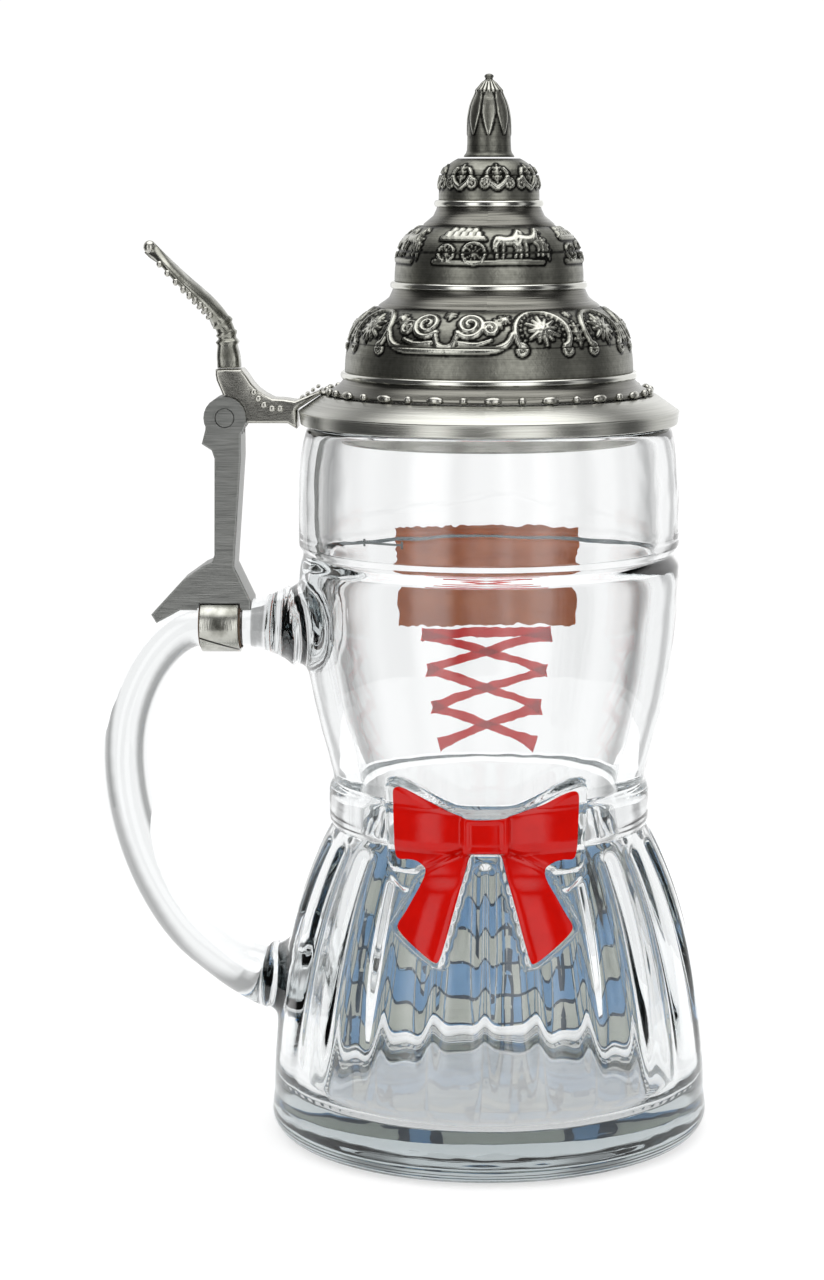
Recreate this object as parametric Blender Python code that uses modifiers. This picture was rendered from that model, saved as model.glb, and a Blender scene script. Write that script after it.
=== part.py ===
"""Half-litre glass mug shaped like a dress, with a hinged pewter lid.

Metres, +Z up. The mug's axis is the Z axis and it stands on z = 0. The handle points to -X,
the moulded bow to -Y, and the printed bodice and skirt face +Y. The lid swings on a pin along Y.
"""

from math import cos, pi, radians, sin

import bmesh
import bpy
from mathutils import Matrix, Vector
from mathutils.geometry import interpolate_bezier

# ---------------------------------------------------------------- driving dimensions
GAP = 0.0003  # between pieces that touch
RUNNING = 0.0002  # round the hinge pin, and beside the rings

# Glass, zone by zone from the table up
FOOT_HEIGHT = 0.0092
SKIRT_HEIGHT = 0.0615
BELT_WIDTH = 0.0095
BODICE_HEIGHT = 0.0514
COLLAR_HEIGHT = 0.0288
HEM_RADIUS = 0.0491
HEEL_STAND = 0.0005  # how far the base stands out past the hem
WAIST_RADIUS = 0.0350
BELT_STAND = 0.0011  # how far the belt stands out from the waist
BUST_RADIUS = 0.0425
RIM_DRAW = 0.0017  # how far the rim draws in from the bust
HEEL_ROUND = 0.0046
GROOVE_WIDTH = 0.0050
GROOVE_DEPTH = 0.0012
PLEATS = 24
PLEAT_DEPTH = 0.0013
PLEAT_RUN = 0.036  # the height over which a valley grows from the foot to its full depth
FLOOR = 0.0100
FLOOR_ROUND = 0.0030
SKIRT_WALL = 0.0078
BODICE_WALL = 0.0060
RIM_WALL = 0.0045

# Glass handle: an oval bar, bent into a D
HANDLE_STAND = 0.0397  # from the bust out to the bar's centre
HANDLE_ABOVE_BELT = 0.0355
HANDLE_DROP = 0.0305  # from the bar's level top down to where it stands out furthest
HANDLE_FOOT_Z = 0.0343
HANDLE_THICKNESS = 0.0102
HANDLE_WIDTH = 0.0150

# Bow and prints
BOW_RELIEF = 0.0020
ENAMEL = 0.0004
ENAMEL_MARGIN = 0.0009
PRINT = 0.0003
NECKLINE_HALF_ANGLE = radians(34)
NECKLINE_HEIGHT = 0.0190
SKIRT_PRINT_HALF_ANGLE = radians(65)
LACE_WIDTH = 0.0018
LACE_TOP_HALF = 0.0172
LACE_FOOT_HALF = 0.0128
LACE_CROSSES = 3

# Strap round the handle, with its lining
LINER_CLEARANCE = 0.0002
LINER = 0.0003
LINER_WIDTH = 0.0093
STRAP = 0.0007
STRAP_WIDTH = 0.0086
STRAP_BEHIND_HINGE = 0.0017

# Hinge: three rings on the post, two on the arm, one pin
HINGE_PAST_FLANGE = 0.0161
HINGE_ABOVE_GLASS = 0.0018
HINGE_WIDTH = 0.0120
EAR_RADIUS = 0.0047
PIN_RADIUS = 0.0015
PLUG_RADIUS = 0.0020
PLUG_DEPTH = 0.0010
ARM_WIDTH = 0.0090

# Lid
FLANGE_OVERHANG = 0.0015  # past the glass's rim
FLANGE_BAND = 0.0029
FLANGE_BEVEL = 0.0036
LIP_DEPTH = 0.0040
LIP_WALL = 0.0012
LIP_CLEARANCE = 0.0010
LID_WALL = 0.0016
DOME_LEDGE = 0.0065  # of the flange, left clear round the domes
# Each dome: height of the rings below it, its own height, its foot as a share of the radius
# below, and its top as a share of its foot
DOMES = [(0.0049, 0.0142, 0.894, 0.766), (0.0056, 0.0122, 0.853, 0.694), (0.0056, 0.0090, 0.766, 0.613)]
FINIAL_RADIUS = 0.0055
FINIAL_HEIGHT = 0.0181
THUMB_REACH = 0.0171
THUMB_HEIGHT = 0.0268

# ---------------------------------------------------------------- worked out from them
BASE_RADIUS = HEM_RADIUS + HEEL_STAND
BELT_RADIUS = WAIST_RADIUS + BELT_STAND
RIM_RADIUS = BUST_RADIUS - RIM_DRAW
BELT_BOTTOM = FOOT_HEIGHT + SKIRT_HEIGHT
BELT_TOP = BELT_BOTTOM + BELT_WIDTH
GROOVE_Z = BELT_TOP + BODICE_HEIGHT
GLASS_TOP = GROOVE_Z + COLLAR_HEIGHT
HANDLE_Z = BELT_TOP + HANDLE_ABOVE_BELT
HANDLE_TOP = HANDLE_Z + HANDLE_THICKNESS / 2
HANDLE_REACH = BUST_RADIUS + HANDLE_STAND
FLANGE_RADIUS = RIM_RADIUS + FLANGE_OVERHANG
DOME_FOOT_RADIUS = FLANGE_RADIUS - DOME_LEDGE
FLANGE_BOTTOM = GLASS_TOP + GAP
FLANGE_TOP = FLANGE_BOTTOM + FLANGE_BAND + FLANGE_BEVEL
HINGE = Vector((-FLANGE_RADIUS - HINGE_PAST_FLANGE, 0, GLASS_TOP + HINGE_ABOVE_GLASS))
STRAP_X = HINGE.x - STRAP_BEHIND_HINGE
RING = HINGE_WIDTH / 5
PLEAT_STEPS = PLEATS * 3  # a valley and two ridge lines for each pleat
TURN_STEPS = 40

# ---------------------------------------------------------------- scene and materials
for old in list(bpy.data.objects):
    bpy.data.objects.remove(old)

parts = bpy.data.collections.new("beer_stein")
cutters = bpy.data.collections.new("cutters")
for group in (parts, cutters):
    bpy.context.scene.collection.children.link(group)


def material(name, colour, roughness, metallic=0.0, alpha=1.0):
    """One Principled material."""
    made = bpy.data.materials.new(name)
    made.use_nodes = True
    made.diffuse_color = (*colour, alpha)
    shader = made.node_tree.nodes["Principled BSDF"]
    shader.inputs["Base Color"].default_value = (*colour, 1)
    shader.inputs["Roughness"].default_value = roughness
    shader.inputs["Metallic"].default_value = metallic
    shader.inputs["Alpha"].default_value = alpha
    return made


GLASS = material("clear_glass", (0.90, 0.93, 0.92), 0.03, alpha=0.35)
RED = material("red_enamel", (0.62, 0.02, 0.01), 0.12)
SKIN = material("skin_print", (0.45, 0.17, 0.09), 0.4)
LACE = material("lace_print", (0.50, 0.04, 0.04), 0.4)
CHECK = material("blue_print", (0.18, 0.35, 0.55), 0.4)
DARK = material("antiqued_pewter", (0.17, 0.17, 0.16), 0.42, 0.9)
BRIGHT = material("bright_pewter", (0.48, 0.48, 0.46), 0.3, 0.9)
LINING = material("lining", (0.10, 0.10, 0.09), 0.7)
STEEL = material("pin_steel", (0.55, 0.55, 0.55), 0.25, 1.0)


# ---------------------------------------------------------------- ways of making a shape
def place(mesh, name, surface=None):
    """An object for this mesh: a part if it has a material, otherwise a cutter."""
    made = bpy.data.objects.new(name, mesh)
    if surface is None:
        cutters.objects.link(made)
        made.hide_render = True
        made.display_type = "WIRE"
        return made
    mesh.materials.clear()
    mesh.materials.append(surface)
    mesh.shade_smooth()
    mesh.set_sharp_from_angle(angle=radians(30))
    parts.objects.link(made)
    return made


def finished(bm, name, surface=None):
    """The object of a closed bmesh, with its doubles merged and its faces pointing out."""
    bmesh.ops.remove_doubles(bm, verts=bm.verts, dist=1e-6)
    bmesh.ops.recalc_face_normals(bm, faces=bm.faces)
    mesh = bpy.data.meshes.new(name)
    bm.to_mesh(mesh)
    bm.free()
    return place(mesh, name, surface)


def bezier(start, start_handle, end_handle, end, count):
    """Points (r, z) along one Bezier arc, both ends included."""
    return [tuple(p) for p in interpolate_bezier(start, start_handle, end_handle, end, count)]


def revolved(profile, ring=False, steps=TURN_STEPS, start=0.0, sweep=2 * pi):
    """A bmesh of an (r, z) profile turned about the mug's axis. ring closes the profile."""
    bm = bmesh.new()
    verts = [bm.verts.new((r * cos(start), r * sin(start), z)) for r, z in profile]
    pairs = list(zip(verts, verts[1:]))
    if ring:
        pairs.append((verts[-1], verts[0]))
    edges = [bm.edges.new(pair) for pair in pairs]
    bmesh.ops.spin(bm, geom=verts + edges, cent=(0, 0, 0), axis=(0, 0, 1),
                   angle=sweep, steps=steps, use_merge=sweep == 2 * pi)
    return bm


def turned(name, profile, surface=None, ring=False, steps=TURN_STEPS):
    """A closed turned solid."""
    return finished(revolved(profile, ring, steps), name, surface)


def facing_out(bm):
    """Turn an open patch round the mug so that its faces point away from the axis."""
    bmesh.ops.remove_doubles(bm, verts=bm.verts, dist=1e-6)
    bmesh.ops.recalc_face_normals(bm, faces=bm.faces)
    bm.faces.ensure_lookup_table()
    face = bm.faces[0]
    outward = Vector((*face.calc_center_median().xy, 0))
    if face.normal.dot(outward) < 0:
        bmesh.ops.reverse_faces(bm, faces=bm.faces)


def skin(name, bm, surface, thickness):
    """An open patch, thickened away from the glass."""
    facing_out(bm)
    mesh = bpy.data.meshes.new(name)
    bm.to_mesh(mesh)
    bm.free()
    made = place(mesh, name, surface)
    solid = made.modifiers.new("thickness", "SOLIDIFY")
    solid.thickness = thickness
    solid.offset = 1
    return made


def side_plate(name, outline, width, surface=None, bevel=0.0, y=0.0):
    """A flat outline of (x, z) points, extruded to this width along Y."""
    curve = bpy.data.curves.new(name, "CURVE")
    curve.dimensions = "2D"
    curve.fill_mode = "BOTH"
    curve.extrude = width / 2 - bevel
    curve.bevel_depth = bevel
    curve.bevel_resolution = 1
    curve.offset = -bevel
    spline = curve.splines.new("POLY")
    spline.points.add(len(outline) - 1)
    for point, (x, z) in zip(spline.points, outline):
        point.co = (x, z, 0, 1)
    spline.use_cyclic_u = True
    upright = Matrix.Translation((0, y, 0)) @ Matrix.Rotation(pi / 2, 4, "X")
    return mesh_of_curve(curve, name, surface, upright)


def mesh_of_curve(curve, name, surface, move):
    """The closed mesh object of a curve, with its caps welded."""
    shape = bpy.data.objects.new(name + "_curve", curve)
    cutters.objects.link(shape)
    evaluated = shape.evaluated_get(bpy.context.evaluated_depsgraph_get())
    mesh = bpy.data.meshes.new_from_object(evaluated)
    bpy.data.objects.remove(shape)
    bm = bmesh.new()
    bm.from_mesh(mesh)
    bpy.data.meshes.remove(mesh)
    bmesh.ops.transform(bm, matrix=move, verts=bm.verts)
    return finished(bm, name, surface)


def bar(name, knots, thickness, surface=None, resolution=7, sides=4):
    """A round bar in the XZ plane. Each knot is (x, z, handle dx, handle dz, thickness factor)."""
    curve = bpy.data.curves.new(name, "CURVE")
    curve.dimensions = "3D"
    curve.bevel_depth = thickness / 2
    curve.bevel_resolution = sides
    curve.use_fill_caps = True
    curve.resolution_u = resolution
    spline = curve.splines.new("BEZIER")
    spline.bezier_points.add(len(knots) - 1)
    for point, (x, z, dx, dz, factor) in zip(spline.bezier_points, knots):
        point.co = (x, 0, z)
        point.handle_left = (x - dx, 0, z - dz)
        point.handle_right = (x + dx, 0, z + dz)
        point.radius = factor
    return mesh_of_curve(curve, name, surface, Matrix.Identity(4))


def cylinder(name, radius, width, centre, surface=None, y=0.0, sides=24):
    """A cylinder along Y, centred on this point of the XZ plane."""
    bm = bmesh.new()
    move = Matrix.Translation((centre.x, y, centre.z)) @ Matrix.Rotation(pi / 2, 4, "X")
    bmesh.ops.create_cone(bm, cap_ends=True, segments=sides, radius1=radius, radius2=radius,
                          depth=width, matrix=move)
    return finished(bm, name, surface)


def oval(name, clearance, length, wall=0.0, surface=None):
    """Round the handle under the post: an oval plug, or with a wall an oval band."""
    half_y = HANDLE_WIDTH / 2 + clearance
    half_z = HANDLE_THICKNESS / 2 + clearance
    bm = bmesh.new()
    bmesh.ops.create_circle(bm, cap_ends=not wall, segments=32, radius=1)
    bmesh.ops.scale(bm, vec=(half_z, half_y, 1), verts=bm.verts)
    stand = Matrix.Translation((STRAP_X - length / 2, 0, HANDLE_Z)) @ Matrix.Rotation(pi / 2, 4, "Y")
    bmesh.ops.transform(bm, matrix=stand, verts=bm.verts)
    grown = bmesh.ops.extrude_face_region(bm, geom=bm.faces) if not wall else \
        bmesh.ops.extrude_edge_only(bm, edges=bm.edges)
    end = [v for v in grown["geom"] if isinstance(v, bmesh.types.BMVert)]
    bmesh.ops.translate(bm, vec=(length, 0, 0), verts=end)
    made = finished(bm, name, surface)
    if wall:
        solid = made.modifiers.new("thickness", "SOLIDIFY")
        solid.thickness = wall
        solid.offset = 1
    return made


def change(target, tool, operation):
    """Cut, join or keep the common part, with an exact Boolean."""
    modifier = target.modifiers.new(tool.name, "BOOLEAN")
    modifier.object = tool
    modifier.operation = operation
    modifier.solver = "EXACT"


# ---------------------------------------------------------------- glass
def collar_arc():
    """From the groove up to the rim, outer side."""
    return bezier((BUST_RADIUS, GROOVE_Z + GROOVE_WIDTH / 2),
                  (BUST_RADIUS, GROOVE_Z + 0.55 * COLLAR_HEIGHT),
                  (BUST_RADIUS, GROOVE_Z + 0.75 * COLLAR_HEIGHT),
                  (RIM_RADIUS, GLASS_TOP - RIM_WALL / 3), 5)


def bodice_arc():
    """From the belt up to the groove, outer side."""
    return bezier((WAIST_RADIUS, BELT_TOP + 0.0015),
                  (WAIST_RADIUS + 0.0011, BELT_TOP + 0.16 * BODICE_HEIGHT),
                  (BUST_RADIUS - 0.0002, BELT_TOP + 0.42 * BODICE_HEIGHT),
                  (BUST_RADIUS, GROOVE_Z - GROOVE_WIDTH / 2), 8)


def skirt_arc():
    """From the foot up to the belt, outer side."""
    spread = HEM_RADIUS - WAIST_RADIUS
    return bezier((HEM_RADIUS, FOOT_HEIGHT),
                  (HEM_RADIUS - 0.02 * spread, FOOT_HEIGHT + 0.39 * SKIRT_HEIGHT),
                  (HEM_RADIUS - 0.28 * spread, FOOT_HEIGHT + 0.715 * SKIRT_HEIGHT),
                  (WAIST_RADIUS + 0.0003, BELT_BOTTOM), 8)


def skirt_radius(z):
    """Outer radius of the skirt's ridges at this height."""
    arc = skirt_arc()
    for (low_r, low_z), (high_r, high_z) in zip(arc, arc[1:]):
        if low_z <= z <= high_z:
            return low_r + (high_r - low_r) * (z - low_z) / (high_z - low_z)
    return arc[0][0] if z < arc[0][1] else arc[-1][0]


def pleat(bm):
    """Press the valleys between the pleats in, running out at the belt and at the foot."""
    for v in bm.verts:
        if not FOOT_HEIGHT < v.co.z < BELT_BOTTOM:
            continue
        turn = Vector((v.co.x, v.co.y)).angle_signed(Vector((1, 0)))
        if abs(turn / (2 * pi) * PLEATS - round(turn / (2 * pi) * PLEATS)) > 0.1:
            continue
        radius = v.co.xy.length
        depth = PLEAT_DEPTH * min(1, (v.co.z - FOOT_HEIGHT) / PLEAT_RUN)
        v.co.x *= 1 - depth / radius
        v.co.y *= 1 - depth / radius


def glass_outside():
    """The mug's outer profile, from the rim down to the middle of the base."""
    top = [(0, GLASS_TOP), (RIM_RADIUS - RIM_WALL / 2, GLASS_TOP)]
    groove = [(BUST_RADIUS - GROOVE_DEPTH, GROOVE_Z)]
    belt = [(WAIST_RADIUS, BELT_TOP + 0.0002), (BELT_RADIUS - 0.0002, BELT_TOP - 0.0010),
            (BELT_RADIUS, (BELT_TOP + BELT_BOTTOM) / 2), (BELT_RADIUS - 0.0002, BELT_BOTTOM + 0.0010)]
    heel = [(BASE_RADIUS - HEEL_ROUND * (1 - cos(a)), HEEL_ROUND * (1 - sin(a)))
            for a in (0, pi / 6, pi / 3, pi / 2)]
    return (top + collar_arc()[::-1] + groove + bodice_arc()[::-1] + belt
            + skirt_arc()[::-1] + heel + [(0, 0)])


def cavity_profile():
    """The drinking space, from above the rim down to the middle of the floor."""
    collar = [(r - RIM_WALL, z) for r, z in collar_arc()[::-2]]
    bodice = [(r - BODICE_WALL, z) for r, z in bodice_arc()[:-1][::-1]]
    skirt = [(r - SKIRT_WALL, z) for r, z in skirt_arc()[::-1][1:]
             if z > FLOOR + FLOOR_ROUND]
    corner = skirt_radius(FLOOR + FLOOR_ROUND) - SKIRT_WALL - FLOOR_ROUND
    floor = [(corner + FLOOR_ROUND * cos(a), FLOOR + FLOOR_ROUND * (1 - sin(a)))
             for a in (0, pi / 8, pi / 4, 3 * pi / 8, pi / 2)]
    mouth = [(0, GLASS_TOP + 0.01), (collar[0][0], GLASS_TOP + 0.01)]
    return mouth + collar + bodice + skirt + floor + [(0, FLOOR)]


def handle_knots(extra=0.0):
    """The bar's centre line, with extra thickness all round."""
    def factor(times):
        return times + 2 * extra / HANDLE_THICKNESS
    wall_top = BUST_RADIUS - BODICE_WALL
    skirt = skirt_radius(HANDLE_FOOT_Z)
    return [(-wall_top, HANDLE_Z, -0.0020, 0, factor(2.6)),
            (-BUST_RADIUS - 0.0020, HANDLE_Z, -0.0020, 0, factor(1.85)),
            (-BUST_RADIUS - 0.0070, HANDLE_Z, -0.0020, 0, factor(1.12)),
            (STRAP_X + LINER_WIDTH / 2 + 0.0010, HANDLE_Z, -0.0030, 0, factor(1.0)),
            (STRAP_X - LINER_WIDTH / 2 - 0.0002, HANDLE_Z, -0.0040, 0, factor(1.0)),
            (-HANDLE_REACH + 0.0054, HANDLE_Z - 0.0064, -0.0030, -0.0040, factor(1.03)),
            (-HANDLE_REACH, HANDLE_Z - HANDLE_DROP, 0, -0.0200, factor(1.01)),
            (-(HANDLE_REACH + skirt) / 2, HANDLE_FOOT_Z + 0.0082, 0.0085, -0.0068, factor(1.05)),
            (-skirt - 0.0070, HANDLE_FOOT_Z + 0.0010, 0.0030, -0.0016, factor(1.16)),
            (-skirt - 0.0015, HANDLE_FOOT_Z - 0.0002, 0.0020, -0.0004, factor(1.62)),
            (-skirt + 0.0040, HANDLE_FOOT_Z, 0.0020, 0, factor(2.2))]


def handle_bar(name, extra=0.0):
    """The handle alone, oval in section."""
    made = bar(name, handle_knots(extra), HANDLE_THICKNESS)
    widen = (HANDLE_WIDTH / 2 + extra) / (HANDLE_THICKNESS / 2 + extra)
    made.data.transform(Matrix.Diagonal((1, widen, 1, 1)))
    return made


# Right half of the bow seen from the front: (x, height above the belt's middle)
BOW_HALF = [(0.0000, 0.0042), (0.0032, 0.0042), (0.0088, 0.0058), (0.0157, 0.0093), (0.0196, 0.0104),
            (0.0210, 0.0085), (0.0204, -0.0078), (0.0195, -0.0088), (0.0138, -0.0090),
            (0.0200, -0.0196), (0.0196, -0.0214), (0.0104, -0.0284), (0.0092, -0.0280),
            (0.0036, -0.0080), (0.0030, -0.0050), (0.0000, -0.0050)]
# Of these, how far the enamel keeps in from the edge: (dx, dz) in margins
ENAMEL_IN = [(0, -1), (0, -1), (0, -1), (0, -1), (0, -1), (-1, -1), (-1, 1), (-1, 1), (-0.6, 1),
             (-1, 0), (-1, 0.5), (-0.4, 1.2), (0.2, 1.4), (0.8, 0.2), (0.8, 0), (0, 0)]


def bow_outline(margin=0.0):
    """The whole bow's outline, smaller by the margin."""
    middle = (BELT_TOP + BELT_BOTTOM) / 2
    half = [(x + margin * dx, middle + z + margin * dz)
            for (x, z), (dx, dz) in zip(BOW_HALF, ENAMEL_IN)]
    return half + [(-x, z) for x, z in half[-2:0:-1]]


def dress_front(offset):
    """Outer profile from above the bow to below it, this far out from the glass."""
    middle = (BELT_TOP + BELT_BOTTOM) / 2
    low, high = middle - 0.034, middle + 0.016
    bodice = [(r + offset, z) for r, z in bodice_arc()[::-1] if z < high]
    skirt = [(r + offset, z) for r, z in skirt_arc()[::-1] if z > low]
    return [(bodice[0][0], high)] + bodice + skirt + [(skirt[-1][0], low)]


def glass_mug():
    """Body, handle and moulded bow, pressed in one piece of glass."""
    bm = revolved(glass_outside(), steps=PLEAT_STEPS)
    bmesh.ops.remove_doubles(bm, verts=bm.verts, dist=1e-6)
    pleat(bm)
    mug = finished(bm, "glass_mug", GLASS)
    front = dress_front(BOW_RELIEF)
    inside = [(r - 0.004, z) for r, z in front[::-1]]
    relief = turned("bow_relief", front + inside, ring=True)
    half_space = BASE_RADIUS
    prism = side_plate("bow_prism", bow_outline(), half_space, y=-half_space / 2)
    change(relief, prism, "INTERSECT")
    change(mug, handle_bar("handle_form"), "UNION")
    change(mug, relief, "UNION")
    change(mug, turned("cavity", cavity_profile(), steps=TURN_STEPS), "DIFFERENCE")
    return mug


def bow_enamel():
    """Red enamel on the face of the moulded bow."""
    inner = dress_front(BOW_RELIEF + GAP)
    outer = dress_front(BOW_RELIEF + GAP + ENAMEL)
    enamel = turned("bow_enamel", outer + inner[::-1], RED, ring=True)
    prism = side_plate("enamel_prism", bow_outline(ENAMEL_MARGIN), BASE_RADIUS, y=-BASE_RADIUS / 2)
    change(enamel, prism, "INTERSECT")


def prints():
    """Three transfer prints on the mug's back: the neckline, the lacing and the checked skirt."""
    back = pi / 2
    neck_top = GROOVE_Z - GROOVE_WIDTH / 2
    neck = [(r + GAP, z) for r, z in bodice_arc()[::-1] if z > neck_top - NECKLINE_HEIGHT]
    neck.append((neck[-1][0], neck_top - NECKLINE_HEIGHT))
    skin("neckline_print", revolved(neck, steps=12, start=back - NECKLINE_HALF_ANGLE,
                                    sweep=2 * NECKLINE_HALF_ANGLE), SKIN, PRINT)

    arc = [(r + GAP, z) for r, z in skirt_arc()[1:-1]]
    steps = round(2 * SKIRT_PRINT_HALF_ANGLE / (2 * pi) * PLEAT_STEPS)
    sweep = steps * 2 * pi / PLEAT_STEPS
    bm = revolved(arc, steps=steps, start=back - sweep / 2, sweep=sweep)
    bmesh.ops.remove_doubles(bm, verts=bm.verts, dist=1e-6)
    pleat(bm)
    skin("skirt_print", bm, CHECK, PRINT)

    lace_top = neck_top - NECKLINE_HEIGHT - 2 * GAP - LACE_WIDTH
    lace_foot = BELT_TOP + 0.0022
    sheet = [(r + GAP, z) for r, z in bodice_arc()[::-1]]
    shell = sheet + [(r + PRINT, z) for r, z in sheet[::-1]]
    lacing = turned("lacing_print", shell, LACE, ring=True)
    rise = (lace_top - lace_foot) / LACE_CROSSES
    narrowing = (LACE_TOP_HALF - LACE_FOOT_HALF) / LACE_CROSSES
    strips = [((-LACE_TOP_HALF, lace_top), (LACE_TOP_HALF, lace_top))]
    for n in range(LACE_CROSSES):
        wide = LACE_TOP_HALF - n * narrowing
        narrow = wide - narrowing
        upper = lace_top - n * rise
        lower = upper - rise
        strips += [((-wide, upper), (narrow, lower)), ((wide, upper), (-narrow, lower))]
    web = None
    for n, (start, end) in enumerate(strips):
        along = Vector(end) - Vector(start)
        across = along.orthogonal().normalized() * LACE_WIDTH / 2
        reach = along.normalized() * LACE_WIDTH / 2
        corners = [Vector(start) - reach - across, Vector(end) + reach - across,
                   Vector(end) + reach + across, Vector(start) - reach + across]
        depth = BASE_RADIUS + n * GAP  # unequal, so that no two end faces coincide
        strip = side_plate(f"lace_{n}", [tuple(c) for c in corners], depth, y=BASE_RADIUS / 2)
        if web is None:
            web = strip
        else:
            change(web, strip, "UNION")
    change(lacing, web, "INTERSECT")


# ---------------------------------------------------------------- strap and hinge post
LINER_IN = LINER_CLEARANCE
LINER_OUT = LINER_IN + LINER
STRAP_IN = LINER_OUT + LINER_CLEARANCE
STRAP_OUT = STRAP_IN + STRAP


def hinge_post():
    """The tower: ears at the top, a shank, and a foot that straddles the handle."""
    x, z = HINGE.x, HINGE.z
    foot = HANDLE_TOP
    outline = [(x + 0.0035, z), (x + 0.0035, z - 0.0090), (x + 0.0017, foot + 0.0082),
               (x + 0.0022, foot + 0.0072), (x + 0.0054, foot + 0.0004), (x + 0.0054, foot - 0.0016),
               (x - 0.0105, foot - 0.0016), (x - 0.0158, foot - 0.0046), (x - 0.0170, foot - 0.0026),
               (x - 0.0100, foot + 0.0050), (x - 0.0054, foot + 0.0083), (x - 0.0033, foot + 0.0092),
               (x - 0.0027, foot + 0.0108), (x - 0.0024, z - 0.0090), (x - 0.0030, z - 0.0072),
               (x - 0.0052, z - 0.0058), (x - 0.0044, z - 0.0028), (x - 0.0040, z)]
    post = side_plate("hinge_post", outline, HINGE_WIDTH, DARK, bevel=0.0004)
    change(post, cylinder("ears", EAR_RADIUS, HINGE_WIDTH, HINGE), "UNION")
    for side in (-1, 1):
        slot = cylinder(f"slot_{side}", EAR_RADIUS + 0.0005, RING, HINGE, y=side * RING)
        change(post, slot, "DIFFERENCE")
        seat = cylinder(f"plug_seat_{side}", PLUG_RADIUS + RUNNING, 2 * (PLUG_DEPTH + RUNNING),
                        HINGE, y=side * HINGE_WIDTH / 2)
        change(post, seat, "DIFFERENCE")
    change(post, cylinder("post_bore", PIN_RADIUS + RUNNING, 2 * HINGE_WIDTH, HINGE), "DIFFERENCE")
    change(post, handle_bar("handle_room", GAP), "DIFFERENCE")
    change(post, oval("liner_room", LINER_OUT + GAP, LINER_WIDTH + 2 * GAP), "DIFFERENCE")
    change(post, oval("strap_room", STRAP_OUT + GAP, STRAP_WIDTH + 2 * GAP), "DIFFERENCE")


def hinge_pin():
    """The pin through the five rings, and the plugs that shut its bore."""
    length = HINGE_WIDTH - 2 * (PLUG_DEPTH + 2 * RUNNING)
    cylinder("hinge_pin", PIN_RADIUS, length, HINGE, STEEL)
    for name, side in (("hinge_plug_front", -1), ("hinge_plug_rear", 1)):
        cylinder(name, PLUG_RADIUS, PLUG_DEPTH, HINGE, DARK, y=side * (HINGE_WIDTH - PLUG_DEPTH) / 2)


# ---------------------------------------------------------------- lid
def lid_arm():
    """The arm from the hinge to the lid's flange, with a block for the thumblift."""
    x, z = HINGE.x, HINGE.z
    edge = -FLANGE_RADIUS - GAP
    bevel_end = edge + FLANGE_BEVEL * 1.5
    shelf = FLANGE_BOTTOM + FLANGE_BAND + GAP
    block_top = z + 0.0106
    outline = [(x, z), (x - 0.0004, z + 0.0046), (x - 0.0013, z + 0.0068), (x - 0.0021, z + 0.0095),
               (x - 0.0021, block_top), (x + 0.0037, block_top), (x + 0.0048, z + 0.0092),
               (x + 0.0072, z + 0.0061), (x + 0.0105, z + 0.0041), (edge - 0.0004, shelf + 0.0019),
               (bevel_end - 0.0010, shelf + FLANGE_BEVEL + 0.0003),
               (bevel_end, shelf + FLANGE_BEVEL + 0.0012), (bevel_end + 0.0002, shelf + FLANGE_BEVEL),
               (edge, shelf), (edge, FLANGE_BOTTOM - 0.0010), (edge - 0.0020, FLANGE_BOTTOM + 0.0002),
               (x + 0.0045, FLANGE_BOTTOM + 0.0002)]
    arm = side_plate("lid_arm", outline, ARM_WIDTH, BRIGHT)
    change(arm, cylinder("ear_room", EAR_RADIUS + GAP, 2 * HINGE_WIDTH, HINGE), "DIFFERENCE")
    width = RING - 3 * RUNNING
    for side in (-1, 1):
        ring = cylinder(f"arm_ring_{side}", EAR_RADIUS - GAP, width, HINGE, y=side * RING)
        web_outline = [(x + 0.0010, z - 0.0008), (x + 0.0062, z + 0.0001), (x + 0.0056, z + 0.0062),
                       (x + 0.0004, z + 0.0064)]
        web = side_plate(f"arm_web_{side}", web_outline, width, y=side * RING)
        change(ring, web, "UNION")
        change(arm, ring, "UNION")
    change(arm, cylinder("arm_bore", PIN_RADIUS + RUNNING, 2 * HINGE_WIDTH, HINGE), "DIFFERENCE")
    return block_top


def thumblift(bottom):
    """A leaf-shaped lever that leans back over the handle, with a ball at its tip."""
    x = HINGE.x + 0.0006
    tip_x, tip_z = HINGE.x - THUMB_REACH, bottom + GAP + THUMB_HEIGHT
    low = bottom + GAP
    knots = [(x, low, 0, 0.0020, 1.05), (x - 0.0003, low + 0.0052, 0, 0.0020, 0.90),
             (x - 0.0028, low + 0.0118, -0.0020, 0.0024, 0.88),
             (x - 0.0090, low + 0.0180, -0.0026, 0.0024, 0.72),
             (tip_x, tip_z, -0.0012, 0.0011, 0.48)]
    lever = bar("thumblift", knots, 0.0052, BRIGHT, resolution=5)
    bm = bmesh.new()
    bm.from_mesh(lever.data)
    root = x - 0.0024
    for v in bm.verts:
        along = min(1, max(0, (root - v.co.x) / (root - tip_x)))
        v.co.y *= 1.15 + 1.9 * sin(pi * min(1, along * 1.25 + 0.08)) ** 0.8 if along else 1.15
    lowest = min(v.co.z for v in bm.verts)
    bmesh.ops.translate(bm, vec=(0, 0, low - lowest), verts=bm.verts)
    bm.to_mesh(lever.data)
    bm.free()


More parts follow.
